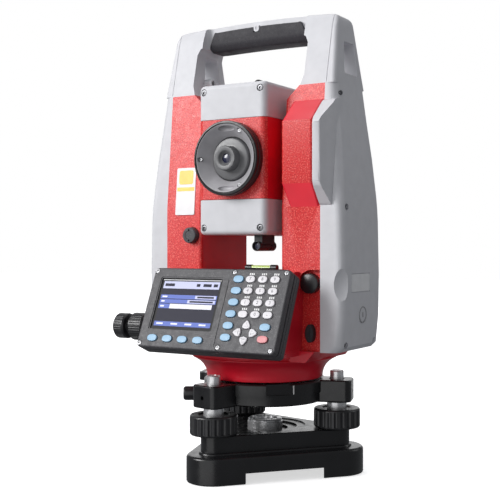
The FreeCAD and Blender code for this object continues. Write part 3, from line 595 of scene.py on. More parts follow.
yoke = {
    "inner": 34.8, "outer": 66.8, "front": 36.3, "rear": 29, "foot": 88, "deck": 153, "bend": 200,
    "top": 288, "topFront": 28.5, "topRear": 22, "bulgeFront": 48.4, "bulgeInner": 41.8,
    "bulgeStart": 199.5, "bulgeFlat": 215.5, "bulgeEnd": 260, "bulgeTop": 276,
    "coverSide": 85, "coverTopSide": 74.5, "coverLow": 96, "stripOuter": 72.5,
}
sideView = [(-36.3, 88), (29, 88), (29, 200), (22, 288), (-28.5, 288), (-36.3, 200)]
bulgeView = [(-20, 199.5), (-36.3, 199.5), (-48.4, 215.5), (-48.4, 260), (-31.2, 276), (-20, 276)]


def makeYoke():
    y = yoke
    uprights = []
    for sign in (1, -1):
        outline = [(y["inner"], y["foot"]), (y["outer"], y["foot"]), (y["outer"], y["top"]),
                   (y["inner"] + 11.2, y["top"]), (y["inner"], y["top"] - 11)]
        upright = cutFromSheet("upright", outline, "XZ", -60, 60)
        profile = cutFromSheet("uprightSide", sideView, "YZ", y["inner"] - 5, y["outer"] + 5)
        boolean(upright, [profile], "INTERSECT")
        if sign < 0:
            mirror = flipAcross(upright, "uprightLeft")
            bpy.data.objects.remove(upright, do_unlink=True)
            upright = mirror
        roundEdges(upright, 2.6, lambda a, b: max(a.y, b.y) < -28 and abs(a.z - b.z) > 5
                   and abs(abs(a.x) - y["inner"]) < 0.5 and abs(abs(b.x) - y["inner"]) < 12, 5)
        uprights.append(upright)
    bulge = cutFromSheet("bulge", bulgeView, "YZ", y["bulgeInner"], y["outer"])
    roundEdges(bulge, 2.2, lambda a, b: max(a.y, b.y) < -30 and abs(a.x - b.x) < 0.1, 5)
    roundEdges(bulge, 2.4, lambda a, b: max(a.x, b.x) < y["bulgeInner"] + 0.1 and max(a.y, b.y) < -30, 5)
    deck = cutFromSheet("deck", [(-36.3, 88), (29, 88), (29, 153), (-36.3, 153)], "YZ", -36, 36)
    neck = cutFromSheet("neck", [(-30, 93), (-55.3, 93), (-55.3, 96), (-67.6, 102.1), (-48.3, 146),
                                 (-44, 153), (-30, 153)], "YZ", -50, 50)
    frame = weld(uprights[0], uprights[1], bulge, deck, neck)
    setBack = cutFromSheet("setBack", [(49.5, 96), (90, 96), (90, 151), (66, 154.5), (57, 154.5),
                                       (51, 151)], "XZ", -60, -31.3)
    roundEdges(setBack, 2.5, lambda a, b: abs(a.y - b.y) > 5 and a.x < 60, 5)
    carve(frame, setBack)
    for sign in (1, -1):
        draw = cutFromSheet("drawIn", [(sign * 54, 87), (sign * 70, 87), (sign * 70, 96), (sign * 62, 96)],
                            "XZ", -60, 60)
        carve(frame, draw)
    carve(frame, addRod("tiltBore", 12.4, (-90, 0, tiltHeight), 180, "x", 64))
    carve(frame, addRod("plummetSeat", 6.4, (-43, -40, 179.6), 5, "y", 48))
    carve(frame, addRod("clampSeat", 8.6, (-60, -50, 109.3), 12, "x", 48))
    breakEdges(frame, 0.9, 3, 40)
    frame.data.materials.append(redPaint)
    frame.data.materials.append(smoothRedShadeTint)
    # the slopes of the bulge and the lower castings are smooth, the rest has the orange peel; faces turned to the
    # sides also take the smooth red, whose cooler crimson is painted shade
    chooseFaces(frame, lambda c, n: c.z < 120 or (c.x > y["bulgeInner"] - 1 and c.y < -37
                and (c.z > 261.5 or c.z < 214)) or abs(n.x) > 0.9)
    frame.active_material_index = 1
    bpy.ops.object.material_slot_assign()
    bpy.ops.object.mode_set(mode="OBJECT")
    frame.name = "yokeFrame"
    finishPiece(frame, None, "alidade", "red_paint", "yoke_frame", angle=40)

    flare = turnOnLathe("yokeFlare", [(0, 71.5), (44.0, 71.5), (44.7, 72.1), (44.9, 74.5), (45.8, 78),
                                      (47.6, 81.2), (50.5, 84.2), (54.2, 86.6), (56, 87.4), (56, 88.3),
                                      (55.2, 88.6), (55.2, 89.4), (55.9, 89.7), (55.9, 91.4), (55, 92),
                                      (0, 92)], steps=160)
    breakEdges(flare, 0.3, 2, 50)
    finishPiece(flare, smoothRedShadeTint, "alidade", "red_paint", "axis_spindle", angle=50)
    spindle = turnOnLathe("axisSpindle", [(0, 50.3), (14.2, 50.3), (15, 51), (15, 53.4), (12.05, 53.5),
                                          (12.05, 62), (11.6, 62.4), (11.6, 63.4), (12.05, 63.8),
                                          (12.05, 71.9), (0, 71.9)], steps=96)
    finishPiece(spindle, steel, "alidade", "red_paint")


def coverBody(name):
    # silhouette from the front, cut to the silhouette from the side
    y = yoke
    outline = [(y["outer"], 96), (79, 96), (82.6, 99.5), (84.6, 120), (85, 150), (84.2, 190),
               (83.2, 208), (80.7, 236), (77.3, 263), (74.5, 288), (y["outer"], 288)]
    piece = cutFromSheet(name, outline, "XZ", -60, 60)
    boolean(piece, [cutFromSheet("coverSide", [(-36.3, 90), (29, 90), (29, 200), (22, 288), (22, 295),
                                               (-28.5, 295), (-28.5, 288), (-36.3, 200)], "YZ", 60, 100)],
            "INTERSECT")
    roundEdges(piece, 6, lambda a, b: max(a.y, b.y) < -27 and min(a.x, b.x) > 73
               and abs(a.z - b.z) > 2, 5)
    roundEdges(piece, 6, lambda a, b: min(a.y, b.y) > 21 and min(a.x, b.x) > 73
               and abs(a.z - b.z) > 2, 5)
    return piece


def screwRecess(place, axis="x", radius=2.2):
    start = list(place)
    return addRod("screwRecess", radius, start, 6, axis, 32)


def makeCovers():
    y = yoke
    right = coverBody("rightCover")
    left = flipAcross(right, "leftCover")
    strip = cutFromSheet("strip", [(66.8, -48.4), (71.6, -48.4), (72.8, -47.4), (76.6, -35), (76.6, -20),
                                   (66.8, -20)], "XY", 190, 285)
    shape = cutFromSheet("stripSide", bulgeView, "YZ", 60, 80)
    roundEdges(shape, 3, lambda a, b: max(a.y, b.y) < -30 and abs(a.x - b.x) > 5, 5)
    boolean(strip, [shape], "INTERSECT")
    weld(right, strip)
    bpy.ops.object.select_all(action="DESELECT")
    bpy.ops.mesh.primitive_uv_sphere_add(segments=64, ring_count=32, radius=20 * mm,
                                         location=(95.4 * mm, -45.4 * mm, 144 * mm))
    carve(right, settle(nameIt("thumbHollow")))
    places = [(76.5, -22.5, 281), (80.9, -26.2, 199), (80.4, -25.5, 101), (80, 19, 101)]
    heads = []
    for number, (px, py, pz) in enumerate(places):
        outward = math.radians(-38 if py < 0 else 30)
        turn = Matrix.Rotation(outward, 4, "Z")
        recess = addRod("recess", 2.4, (-1.1, 0, 0), 6, "x", 32)
        carve(right, moveTo(recess, (px, py, pz), turn))
        head = turnOnLathe("coverScrew", [(0, -2.2), (1.9, -2.2), (1.9, -1.3), (1.6, -1.0), (0.8, -1.0),
                                          (0.6, -1.6), (0, -1.6)], axis="x", steps=24)
        heads.append(moveTo(head, (px, py, pz), turn))
    # blank name plate and a round mark on the right side
    carve(right, addBlock("plateSeat", (84.3, -22.5, 138.2), (90, 8.4, 151.8)))
    ring = turnOnLathe("markRing", [(5.2, 84.2), (5.4, 84.95), (6.0, 84.95), (6.2, 84.2), (5.2, 84.2)],
                       (0, -3.5, 121.6), "x", 48)
    bar = addBlock("markBar", (84.2, -3.9, 119.8), (84.95, -3.1, 123.4))
    breakEdges(right, 0.8, 3, 42)
    finishPiece(right, greyPlastic, "alidade", "grey_plastic", "right_cover", angle=40)
    # the round mark is darker grey: painted shade standing in for the shading of its embossed ring
    mark = gather("roundMark", ring, bar)
    finishPiece(mark, markShadeGrey, "alidade", "grey_plastic")
    plate = addBlock("blankPlate", (84.2, -22.1, 138.6), (85.0, 8.0, 151.4))
    roundEdges(plate, 1, lambda a, b: abs(a.x - b.x) > 0.2, 3)
    breakEdges(plate, 0.25, 2)
    finishPiece(plate, plateSilver, "alidade", "grey_plastic")
    leftHeads = [flipAcross(head, "leftScrew") for head in heads]
    finishPiece(gather("coverScrews", *heads, *leftHeads), darkSteel, "alidade", "bright_steel")
    carve(left, addBlock("batteryRoom", (-90, -20.2, 125.8), (-70, 16.2, 196.2)))
    for px, py, pz in places:
        recess = addRod("recess", 2.4, (-6, 0, 0), 7.1, "x", 32)
        turn = Matrix.Rotation(math.radians(38 if py < 0 else -30), 4, "Z")
        carve(left, moveTo(recess, (-px, py, pz), turn))
    breakEdges(left, 0.8, 3, 42)
    finishPiece(left, greyPlastic, "alidade", "grey_plastic", "left_cover", angle=40)
    door = addBlock("batteryDoor", (-83.6, -19.7, 126.3), (-70, 15.7, 195.7))
    roundEdges(door, 2, lambda a, b: abs(a.x - b.x) > 2, 4)
    roundEdges(door, 1, lambda a, b: max(a.x, b.x) < -83 and abs(a.x - b.x) < 0.2, 3)
    grips = [addBlock("rib", (-84.4, -12, z), (-83, 8, z + 1.2)) for z in (134, 137, 140, 143)]
    latch = addBlock("batteryLatch", (-85.4, -8, 180), (-82.6, 4, 189))
    roundEdges(latch, 1.2, lambda a, b: min(a.x, b.x) < -85, 3)
    weld(door, latch, *grips)
    finishPiece(door, greyPlastic, "alidade", "grey_plastic", "battery_pack")


def archHeight(x, ends=340.4, middle=343.0):
    return ends + (middle - ends) * (1 - (x / 66) ** 2)


def makeHandle():
    steps = range(-8, 9)
    top = [(x * 8.0, archHeight(x * 8.0)) for x in reversed(steps)]
    outline = [(74.5, 288), (73.6, 300), (71.6, 332)]
    outline += [(66 + 5.4 * math.cos(a), 334 + 6.2 * math.sin(a)) for a in (0.2, 0.6, 1.0, 1.4)]
    outline += top
    outline += [(-66 - 5.4 * math.cos(a), 334 + 6.2 * math.sin(a)) for a in (1.4, 1.0, 0.6, 0.2)]
    outline += [(-71.6, 332), (-73.6, 300), (-74.5, 288), (-46.2, 288), (-48.8, 296), (-48.8, 320),
                (-46.5, 325), (-42, 327), (42, 327), (46.5, 325), (48.8, 320), (48.8, 296), (46.2, 288)]
    body = cutFromSheet("carryHandle", outline, "XZ", -40, 40)
    side = cutFromSheet("handleSide", [(-28.5, 280), (22, 280), (22, 288), (10.5, 332), (7.5, 343.5),
                                       (-13.5, 343.5), (-18.3, 332), (-28.5, 288)], "YZ", -90, 90)
    boolean(body, [side], "INTERSECT")
    # the outer edges are rounded all the way over the top, front and rear
    for width, side in ((6, -1), (6, 1)):
        roundEdges(body, width, lambda a, b: side * a.y > 6 and side * b.y > 6
                   and (min(abs(a.x), abs(b.x)) > 60 or min(a.z, b.z) > 339.5)
                   and max(a.z, b.z) > 288.1, 5)
    # the bar between the pillars is slimmer than they are
    for low, high in ((-50, -9.5), (6.5, 50)):
        waist = addBlock("waist", (-45, low, 322), (45, high, 350))
        roundEdges(waist, 5, lambda a, b: abs(a.y - b.y) < 1 and abs(a.x - b.x) < 1, 6)
        carve(body, waist)
    for sign in (-1, 1):
        window = cutFromSheet("window", [(-11.5, 297), (11.2, 297), (7.2, 320.5), (-9.5, 320.5)], "YZ",
                              sign * 44, sign * 80)
        roundEdges(window, 1.8, lambda a, b: abs(a.x - b.x) > 5, 4)
        carve(body, window)
        seam = cutFromSheet("seam", [(-40, 288.8), (-27.7, 288.8), (-17.6, 332), (-14.5, 338), (-13, 350),
                                     (-40, 350)], "YZ", sign * 67.3, sign * 67.7)
        carve(body, seam)
    breakEdges(body, 1.4, 4, 38)
    bosses = []
    for sign in (-1, 1):
        start = 42.0 if sign > 0 else -52.0
        boss = addRod("boss", 3.6, (start, -8.6, 299.4), 10, "x", 32)
        foot = addBlock("bossFoot", (start + (4 if sign > 0 else 0), -12.4, 296.0),
                        (start + (10 if sign > 0 else 6), -5.2, 299.4))
        weld(boss, foot)
        carve(boss, addRod("bossHole", 2.2, (start - 1 if sign > 0 else start + 8, -8.6, 299.4), 3, "x", 32))
        bosses.append(boss)
    piece = gather("carryHandle", body, *bosses)
    finishPiece(piece, greyPlastic, "alidade", "grey_plastic", "carry_handle", angle=40)
    screws = []
    for start in (43.2, -45.2):
        screw = addRod("fixing", 1.9, (start, -8.6, 299.4), 2, "x", 24)
        carve(screw, addBlock("slot", (start - 0.1 if start > 0 else start + 1.5, -8.9, 297),
                              (start + 0.5 if start > 0 else start + 2.1, -8.3, 302)))
        screws.append(screw)
    finishPiece(gather("handleFixings", *screws), darkSteel, "alidade", "bright_steel")


def makeGrip():
    half = 43.4
    outline = [(half - 1.2, 323.2), (half, 326), (half - 5.5, 338.2)]
    outline += [(x * 6.0, archHeight(x * 6.0) - 4.4) for x in range(6, -7, -1)]
    outline += [(-half + 5.5, 338.2), (-half, 326), (-half + 1.2, 323.2)]
    outline += [(x * 6.0, archHeight(x * 6.0) - 19.2) for x in range(-6, 7)]
    piece = cutFromSheet("handleGrip", outline, "XZ", -30, 30)
    section = cutFromSheet("gripSection", [(-12, 350), (-13.2, 334), (-12.6, 328), (-10, 324),
                                           (-5, 321.5), (2, 321.5), (7, 324), (9.6, 328), (10.2, 334),
                                           (9, 350)], "YZ", -60, 60)
    roundEdges(section, 1.5, lambda a, b: abs(a.x - b.x) > 5, 3)
    boolean(piece, [section], "INTERSECT")
    carve(piece, addBlock("tabRoom", (-2.6, -30, 334.5), (2.6, -8, 350)))
    breakEdges(piece, 0.9, 3, 40)
    finishPiece(piece, gripRubber, "alidade", "grip_rubber", "handle_grip")
    tab = addBlock("gripTab", (-2.4, -13.1, 334.8), (2.4, -8, 339.5))
    roundEdges(tab, 1.8, lambda a, b: abs(a.y - b.y) > 2 and min(a.z, b.z) < 335, 4)
    carve(tab, addBlock("tabSlot", (-0.5, -14, 336.6), (0.5, -12.4, 340)))
    breakEdges(tab, 0.3, 2)
    finishPiece(tab, greyPlastic, "alidade", "grey_plastic")


def makeLabel():
    # a plain two-field plate on the left upright
    back = addBlock("uprightLabel", (-58.6, -36.75, 195.2), (-41, -36.2, 231.6))
    roundEdges(back, 1, lambda a, b: abs(a.y - b.y) > 0.2, 3)
    band = addBlock("labelBand", (-57.8, -36.82, 213.6), (-41.8, -36.4, 216.6))
    field = addBlock("labelField", (-56.4, -36.82, 218.8), (-43.2, -36.4, 229.6))
    roundEdges(field, 1.6, lambda a, b: abs(a.y - b.y) > 0.2, 3)
    # the front of the upright leans back above its bend
    bend = Vector((0, -36.3, 200)) * mm
    lean = (Matrix.Translation(bend) @ Matrix.Rotation(math.radians(-5.06), 4, "X")
            @ Matrix.Translation(-bend))
    for piece, finish in ((back, plateWhite), (band, plateYellow), (field, plateYellow)):
        finishPiece(moveTo(piece, (0, 0, 0), lean), finish, "alidade", "grey_plastic")


def makeSmallParts():
    cap = turnOnLathe("plummetCap", [(0, 0), (6, 0), (6, 4.2), (5.5, 4.9), (3.6, 5), (3.3, 4.6), (0, 4.6)],
                      steps=64)
    holes = [addRod("spanner", 0.75, (0, side, 3.2), 4, "z", 20) for side in (-3.9, 3.9)]
    carve(cap, *holes)
    turn = Matrix.Rotation(math.radians(90), 4, "X")
    moveTo(cap, (-43, -36.3, 179.6), turn)
    finishPiece(cap, charcoal, "alidade", "grip_rubber", "port_plugs")
    plug = addRod("connectorPlug", 3.5, (57.5, -36.2, 109), 5, "y", 48)
    chooseFaces(plug, lambda c, n: True)
    bpy.ops.object.mode_set(mode="OBJECT")
    stretched = Matrix.Translation((0, 0, 109 * mm * (1 - 1.86))) @ Matrix.Diagonal((1, 1, 1.86, 1))
    moveTo(plug, (0, 0, 0), stretched)
    roundEdges(plug, 1.2, lambda a, b: max(a.y, b.y) < -36.1, 4)
    tab = addBlock("plugTab", (56.9, -36.9, 104.5), (58.1, -35.9, 113.5))
    breakEdges(tab, 0.3, 2)
    weld(plug, tab)
    finishPiece(plug, gripRubber, "alidade", "grip_rubber")
    # the plate level lies in a dark holder whose window shows the vial
    holder = addRod("plateLevel", 2.4, (8, -40, 155.5), 26, "x", 48)
    foot = addBlock("levelFoot", (9, -42, 152.9), (33, -38, 155))
    weld(holder, foot)
    carve(holder, addBlock("levelWindow", (13, -44, 155.6), (29, -36, 159)))
    breakEdges(holder, 0.3, 2)
    finishPiece(holder, blackPlastic, "alidade", "bright_steel", "plate_level")
    vial = addRod("levelVial", 1.9, (12.5, -40, 155.5), 17, "x", 48)
    breakEdges(vial, 0.3, 2)
    finishPiece(vial, levelLiquid, "alidade", "bright_steel")


def makeControls():
    ribs = 36
    for name, start, length, radius, body, node in (
            ("tangentKnob", -102.6, 10.1, 9.9, "h_tangent", "h_tangent_knob"),
            ("clampCollar", -87.7, 13.7, 10.7, "h_clamp", "h_clamp_ring")):
        if name == "tangentKnob":
            profile = [(0, start + 1.2), (5.5, start + 1.2), (6.4, start), (8.8, start), (9.8, start + 1),
                       (9.8, start + 9), (9.0, start + 10.1), (5.6, start + 10.1), (5.2, start + 10.6),
                       (5.2, -88), (3.5, -88), (3.5, -32), (0, -32)]
        else:
            profile = [(3.7, start), (9.4, start), (10.6, start + 1.2), (10.6, start + 12.5),
                       (9.6, start + 13.7), (8.2, start + 13.7), (8, -50.6), (3.7, -50.6), (3.7, start)]
        grip = turnOnLathe(name, profile, axis="x", steps=96)
        cutters = [addRod("groove", 0.45, (start + 1.6, 0, radius + 0.1), length - 3.2, "x", 8)]
        for step in range(1, ribs):
            turn = Matrix.Rotation(math.tau * step / ribs, 4, "X")
            cutters.append(moveTo(copyOf(cutters[0], "groove%d" % step), turn=turn))
        carve(grip, gather("grooves", *cutters))
        moveTo(grip, (0, -50, 109.3))
        finishPiece(grip, blackPlastic, body, "black_plastic", node)
    lift = turnOnLathe("liftKnob", [(0, -0.2), (5.6, -0.2), (7.1, 0.8), (7.2, 5.2), (6.6, 5.6), (3, 5.6),
                                    (3, 20), (0, 20)], axis="y", steps=72)
    cutters = [addRod("groove", 0.4, (0, 1.2, 7.4), 4, "y", 8)]
    for step in range(1, 28):
        turn = Matrix.Rotation(math.tau * step / 28, 4, "Y")
        cutters.append(moveTo(copyOf(cutters[0], "groove%d" % step), turn=turn))
    carve(lift, gather("grooves", *cutters))
    moveTo(lift, (57.7, -37.0, 144.7))
    finishPiece(lift, blackPlastic, "v_tangent", "black_plastic", "v_tangent_knob")


plateSilver = paintFinish("plateSilver", (0.84, 0.84, 0.85), 0.4, 0.01, 0.38, variation=0.04)
# the mark's dark grey is painted shade for an embossed ring
markShadeGrey = paintFinish("markShadeGrey", (0.30, 0.30, 0.31), 0.4, 0.01, 0.45, variation=0.04)
darkSteel = metalFinish("darkSteel", (0.20, 0.20, 0.21), 0.35, (1, 1, 6))
for make in (makeYoke, makeCovers, makeHandle, makeGrip, makeLabel, makeSmallParts, makeControls):
    make()
print("alidade ready")


# display unit, modelled flat with its face up and then leaned back

display = {
    "half": 58.3, "tall": 62, "corner": 3.5, "bezel": 5, "depth": 16, "lean": 66.3,
    "foot": (0, -86.6, 98.6), "lcdLow": (-50.1, 14.2), "lcdHigh": (3.6, 53.9), "split": 9.1,
    "keyFirst": 17.3, "keyColumn": 9.95, "keyLow": 10.3, "keyPitch": 8.7,
}
leanBack = Matrix.Rotation(math.radians(display["lean"]), 4, "X")


def ontoYoke(piece):
    return moveTo(piece, display["foot"], leanBack)


def roundedOutline(left, low, right, high, corner, steps=5):
    outline = []
    for cx, cy, start in ((right - corner, high - corner, 0), (left + corner, high - corner, 90),
                          (left + corner, low + corner, 180), (right - corner, low + corner, 270)):
        for step in range(steps + 1):
            turn = math.radians(start + 90 * step / steps)
            outline.append((cx + corner * math.cos(turn), cy + corner * math.sin(turn)))
    return outline


def keyOutline(x, y, wide, tall, steps=8):
    # an oval with slightly squared ends
    outline = []
    for step in range(steps * 4):
        turn = math.tau * step / (steps * 4)
        c, s = math.cos(turn), math.sin(turn)
        outline.append((x + wide / 2 * math.copysign(abs(c) ** 0.8, c),
                        y + tall / 2 * math.copysign(abs(s) ** 0.8, s)))
    return outline


def arrowOutline(x, y, turn, half=3.15):
    # a house shape that points outward, with its corners taken off
    shape = [(-0.8, -0.75), (0.0, -0.95), (0.8, -0.75), (0.95, -0.5), (0.85, 0.1), (0.2, 0.95),
             (-0.2, 0.95), (-0.85, 0.1), (-0.95, -0.5)]
    c, s = math.cos(math.radians(turn)), math.sin(math.radians(turn))
    return [(x + half * (u * c - v * s), y + half * (u * s + v * c)) for u, v in shape]


def keyPlan():
    # name, place, size, finish, legend and, for an arrow, the way it points
    d = display
    plan = []
    for number in range(6):
        y = d["keyLow"] + (5 - number) * d["keyPitch"]
        plan.append(("key_f%d" % (number + 1), d["keyFirst"], y, 8.0, 5.1, keyBlue, "", None))
    legends = "789456123.0-"
    for line in range(4):
        for column in range(3):
            number = line * 3 + column
            plan.append(("key_number_%d" % (number + 1), d["keyFirst"] + (column + 1) * d["keyColumn"],
                         d["keyLow"] + (5 - line) * d["keyPitch"], 7.2, 5.0, keyWhite,
                         legends[number], None))
    middle = d["keyFirst"] + 1.5 * d["keyColumn"]
    for name, dx, y, turn in (("key_up", 0, 20.1, 0), ("key_left", -6.4, 14.4, 90),
                              ("key_right", 6.4, 14.4, -90), ("key_down", 0, 8.6, 180)):
        plan.append((name, middle + dx, y, 7.0, 5.2, keyWhite, "", turn))
    last = d["keyFirst"] + 3 * d["keyColumn"]
    plan.append(("key_enter", last, d["keyLow"] + d["keyPitch"], 8.0, 5.1, keyBlue, "", None))
    plan.append(("key_power", last, d["keyLow"], 8.0, 5.0, keyRed, "", None))
    for number in range(4):
        plan.append(("key_soft_%d" % (number + 1), -44.8 + number * 13.2, 7.0, 8.1, 5.0, keyBlue, "", None))
    return plan


def makeKeys():
    wells = []
    marks = []
    for name, x, y, wide, tall, finish, legend, turn in keyPlan():
        if turn is None:
            outline = keyOutline(x, y, wide, tall)
            wellOutline = keyOutline(x, y, wide + 0.6, tall + 0.6)
        else:
            outline = arrowOutline(x, y, turn)
            wellOutline = arrowOutline(x, y, turn, 3.45)
        key = cutFromSheet(name + "Cap", outline, "XY", -3.5, 1.2)
        # the edge of the top is rounded over in two passes, so that the cap is domed
        chooseFaces(key, lambda c, n: n.z > 0.9)
        bpy.ops.mesh.inset(thickness=0.7 * mm)
        bpy.ops.transform.translate(value=(0, 0, 0.0))
        bpy.ops.mesh.inset(thickness=0.9 * mm)
        bpy.ops.transform.translate(value=(0, 0, 0.12 * mm))
        bpy.ops.object.mode_set(mode="OBJECT")
        roundEdges(key, 0.55, lambda a, b: abs(a.z - 1.2) < 0.01 and abs(b.z - 1.2) < 0.01
                   and math.hypot((a.x + b.x) / 2 - x, (a.y + b.y) / 2 - y) > 2.2, 3)
        slot = {keyBlue: "key_blue", keyWhite: "key_white", keyRed: "key_red"}[finish]
        finishPiece(ontoYoke(key), finish, name + "_cap", slot, name, angle=45)
        wells.append(cutFromSheet("well", wellOutline, "XY", -7, 2))
        if legend:
            marks.append((legend, x, y, name + "_cap"))
        if finish is keyWhite and turn is None:
            # a short plain tick above each white key
            for step in (-1, 0, 1):
                tick = addBlock("tick", (x - 0.5 + step * 1.5, y + 3.4, -0.05), (x + 0.5 + step * 1.5, y + 4.9, 0.06))
                marks.append((tick, 0, 0, "alidade"))
    ticks = [entry[0] for entry in marks if not isinstance(entry[0], str)]
    finishPiece(ontoYoke(gather("keyTicks", *ticks)), legendWhite, "alidade", "key_white")
    for legend, x, y, body in marks:
        if not isinstance(legend, str):
            continue
        putDown()
        bpy.ops.object.text_add(location=(0, 0, 0))
        letter = bpy.context.object
        letter.data.body = legend
        letter.data.size = 3.3 * mm
        letter.data.align_x = "CENTER"
        letter.data.align_y = "CENTER"
        letter.data.extrude = 0.04 * mm
        letter.data.resolution_u = 3
        bpy.ops.object.convert(target="MESH")
        letter = nameIt(body + "Mark")
        moveTo(letter, (x, y, 1.33))
        finishPiece(ontoYoke(letter), legendInk, body, "key_white")
    return wells


def makeDisplay():
    d = display
    half, tall = d["half"], d["tall"]
    bezel = cutFromSheet("displayBezel", roundedOutline(-half, 0, half, tall, d["corner"]), "XY",
                         -d["bezel"], 0)
    roundEdges(bezel, 1.3, lambda a, b: abs(a.z) < 0.01 and abs(b.z) < 0.01, 4)
    window = cutFromSheet("window", roundedOutline(*d["lcdLow"], *d["lcdHigh"], 1.2), "XY", -8, 3)
    splay = cutFromSheet("splay", roundedOutline(d["lcdLow"][0] - 0.9, d["lcdLow"][1] - 0.9,
                                                 d["lcdHigh"][0] + 0.9, d["lcdHigh"][1] + 0.9, 1.8),
                         "XY", -0.5, 3)
    groove = addBlock("splitGroove", (d["split"] - 0.3, 3, -0.35), (d["split"] + 0.3, 53, 2))
    wells = makeKeys()
    screwSpots = [(x, y) for x in (-half + 2.6, 12.4, half - 3.6) for y in (2.8, tall - 2.8)]
    seats = [addRod("screwSeat", 2.15, (x, y, -1.0), 4, sides=32) for x, y in screwSpots]
    carve(bezel, window, splay, groove, gather("wells", *wells), gather("seats", *seats))
    breakEdges(bezel, 0.22, 2, 45)
    finishPiece(ontoYoke(bezel), charcoal, "alidade", "charcoal_plastic", "display_bezel", angle=40)
    gasket = cutFromSheet("displayGasket", roundedOutline(-half + 0.9, 0.9, half - 0.9, tall - 0.9, 3), "XY",
                          -6.4, -4.9)
    finishPiece(ontoYoke(gasket), gripRubber, "alidade", "grip_rubber")
    shell = cutFromSheet("displayHousing", roundedOutline(-half, 0, half, tall, d["corner"]), "XY",
                         -d["depth"], -6.3)
    roundEdges(shell, 4.5, lambda a, b: a.z < -15.9 and b.z < -15.9, 5)
    ledge = cutFromSheet("ledge", roundedOutline(-half - 5, -5, half + 5, tall + 5, 4), "XY", -9.4, -8.8)
    carve(ledge, cutFromSheet("ledgeInner", roundedOutline(-half + 0.5, 0.5, half - 0.5, tall - 0.5, 3),
                              "XY", -12, -5))
    carve(shell, ledge)
    breakEdges(shell, 0.4, 2, 45)
    finishPiece(ontoYoke(shell), charcoal, "alidade", "charcoal_plastic", "display_housing", angle=40)
    heads = []
    for x, y in screwSpots:
        head = turnOnLathe("displayScrew", [(0, -1.0), (1.85, -1.0), (1.85, -0.25), (1.5, 0.1), (0, 0.25)],
                           (x, y, 0), steps=32)
        carve(head, addBlock("slotA", (x - 1.1, y - 0.2, -0.35), (x + 1.1, y + 0.2, 1)),
              addBlock("slotB", (x - 0.2, y - 1.1, -0.35), (x + 0.2, y + 1.1, 1)))
        heads.append(head)
    finishPiece(ontoYoke(gather("displayScrews", *heads)), screwSteel, "alidade", "bright_steel",
                "housing_screws")


def makeScreen():
    # the screen is one sheet cut into fields, each with its own colour
    d = display
    (left, low), (right, high) = d["lcdLow"], d["lcdHigh"]
    wide, tall = right - left, high - low
    panel = addBlock("screenPanel", (left + 0.05, low + 0.05, -4.9), (right - 0.05, high - 0.05, -1.3))
    finishPiece(ontoYoke(panel), screenBlack, "alidade", "screen_glass", "lcd_panel")
    # name, left, low, right and high as shares of the lit area
    fields = (
        ("screenTitle", 0.0, 0.84, 1.0, 1.0, screenLilac),
        ("screenDark", 0.0, 0.0, 1.0, 0.84, screenNavy),
        ("screenRowOne", 0.0, 0.615, 1.0, 0.70, screenBlue),
        ("screenRowOneValue", 0.62, 0.622, 0.985, 0.694, screenLilac),
        ("screenRowTwo", 0.0, 0.515, 1.0, 0.60, screenBlue),
        ("screenRowTwoValue", 0.50, 0.522, 0.985, 0.594, screenLilac),
        ("screenRowThree", 0.0, 0.40, 0.20, 0.50, screenBlue),
        ("screenEntry", 0.20, 0.40, 0.95, 0.50, screenWhite),
        ("screenSoftBar", 0.0, 0.015, 1.0, 0.115, screenBlue),
    )
    inset = 2.2
    marks = []
    for number, (name, u0, v0, u1, v1, finish) in enumerate(fields):
        lift = -1.28 + 0.015 * number
        spanX, spanY = wide - 2 * inset, tall - 2 * inset
        field = addBlock(name, (left + inset + u0 * spanX, low + inset + v0 * spanY, -1.35),
                         (left + inset + u1 * spanX, low + inset + v1 * spanY, lift))
        finishPiece(ontoYoke(field), finish, "alidade", "screen_glass")
    # plain bars stand where lines of figures would be
    bars = ((0.03, 0.89, 0.20, 0.95), (0.60, 0.89, 0.66, 0.95), (0.72, 0.89, 0.86, 0.95),
            (0.90, 0.89, 0.97, 0.95), (0.66, 0.64, 0.95, 0.675), (0.54, 0.54, 0.95, 0.575))
    for u0, v0, u1, v1 in bars:
        spanX, spanY = wide - 2 * inset, tall - 2 * inset
        marks.append(addBlock("bar", (left + inset + u0 * spanX, low + inset + v0 * spanY, -1.3),
                              (left + inset + u1 * spanX, low + inset + v1 * spanY, -1.11)))
    finishPiece(ontoYoke(gather("screenBars", *marks)), screenNavy, "alidade", "screen_glass")
    lightMarks = ((0.03, 0.64, 0.12, 0.675), (0.03, 0.54, 0.09, 0.575), (0.03, 0.43, 0.10, 0.465),
                  (0.04, 0.05, 0.16, 0.085), (0.30, 0.05, 0.42, 0.085), (0.55, 0.05, 0.67, 0.085),
                  (0.80, 0.05, 0.92, 0.085))
    pale = []
    for u0, v0, u1, v1 in lightMarks:
        spanX, spanY = wide - 2 * inset, tall - 2 * inset
        pale.append(addBlock("bar", (left + inset + u0 * spanX, low + inset + v0 * spanY, -1.3),
                             (left + inset + u1 * spanX, low + inset + v1 * spanY, -1.11)))
    finishPiece(ontoYoke(gather("screenPaleBars", *pale)), screenWhite, "alidade", "screen_glass")
    # a thin white bar along the top of the window is a painted highlight, the reflection on the window's chamfer
    topEdgeHighlight = addBlock("screenTopEdgeHighlight", (left + 1.2, high - 1.5, -1.3), (right - 1.2, high - 1.0, -0.9))
    finishPiece(ontoYoke(topEdgeHighlight), legendWhite, "alidade", "screen_glass")


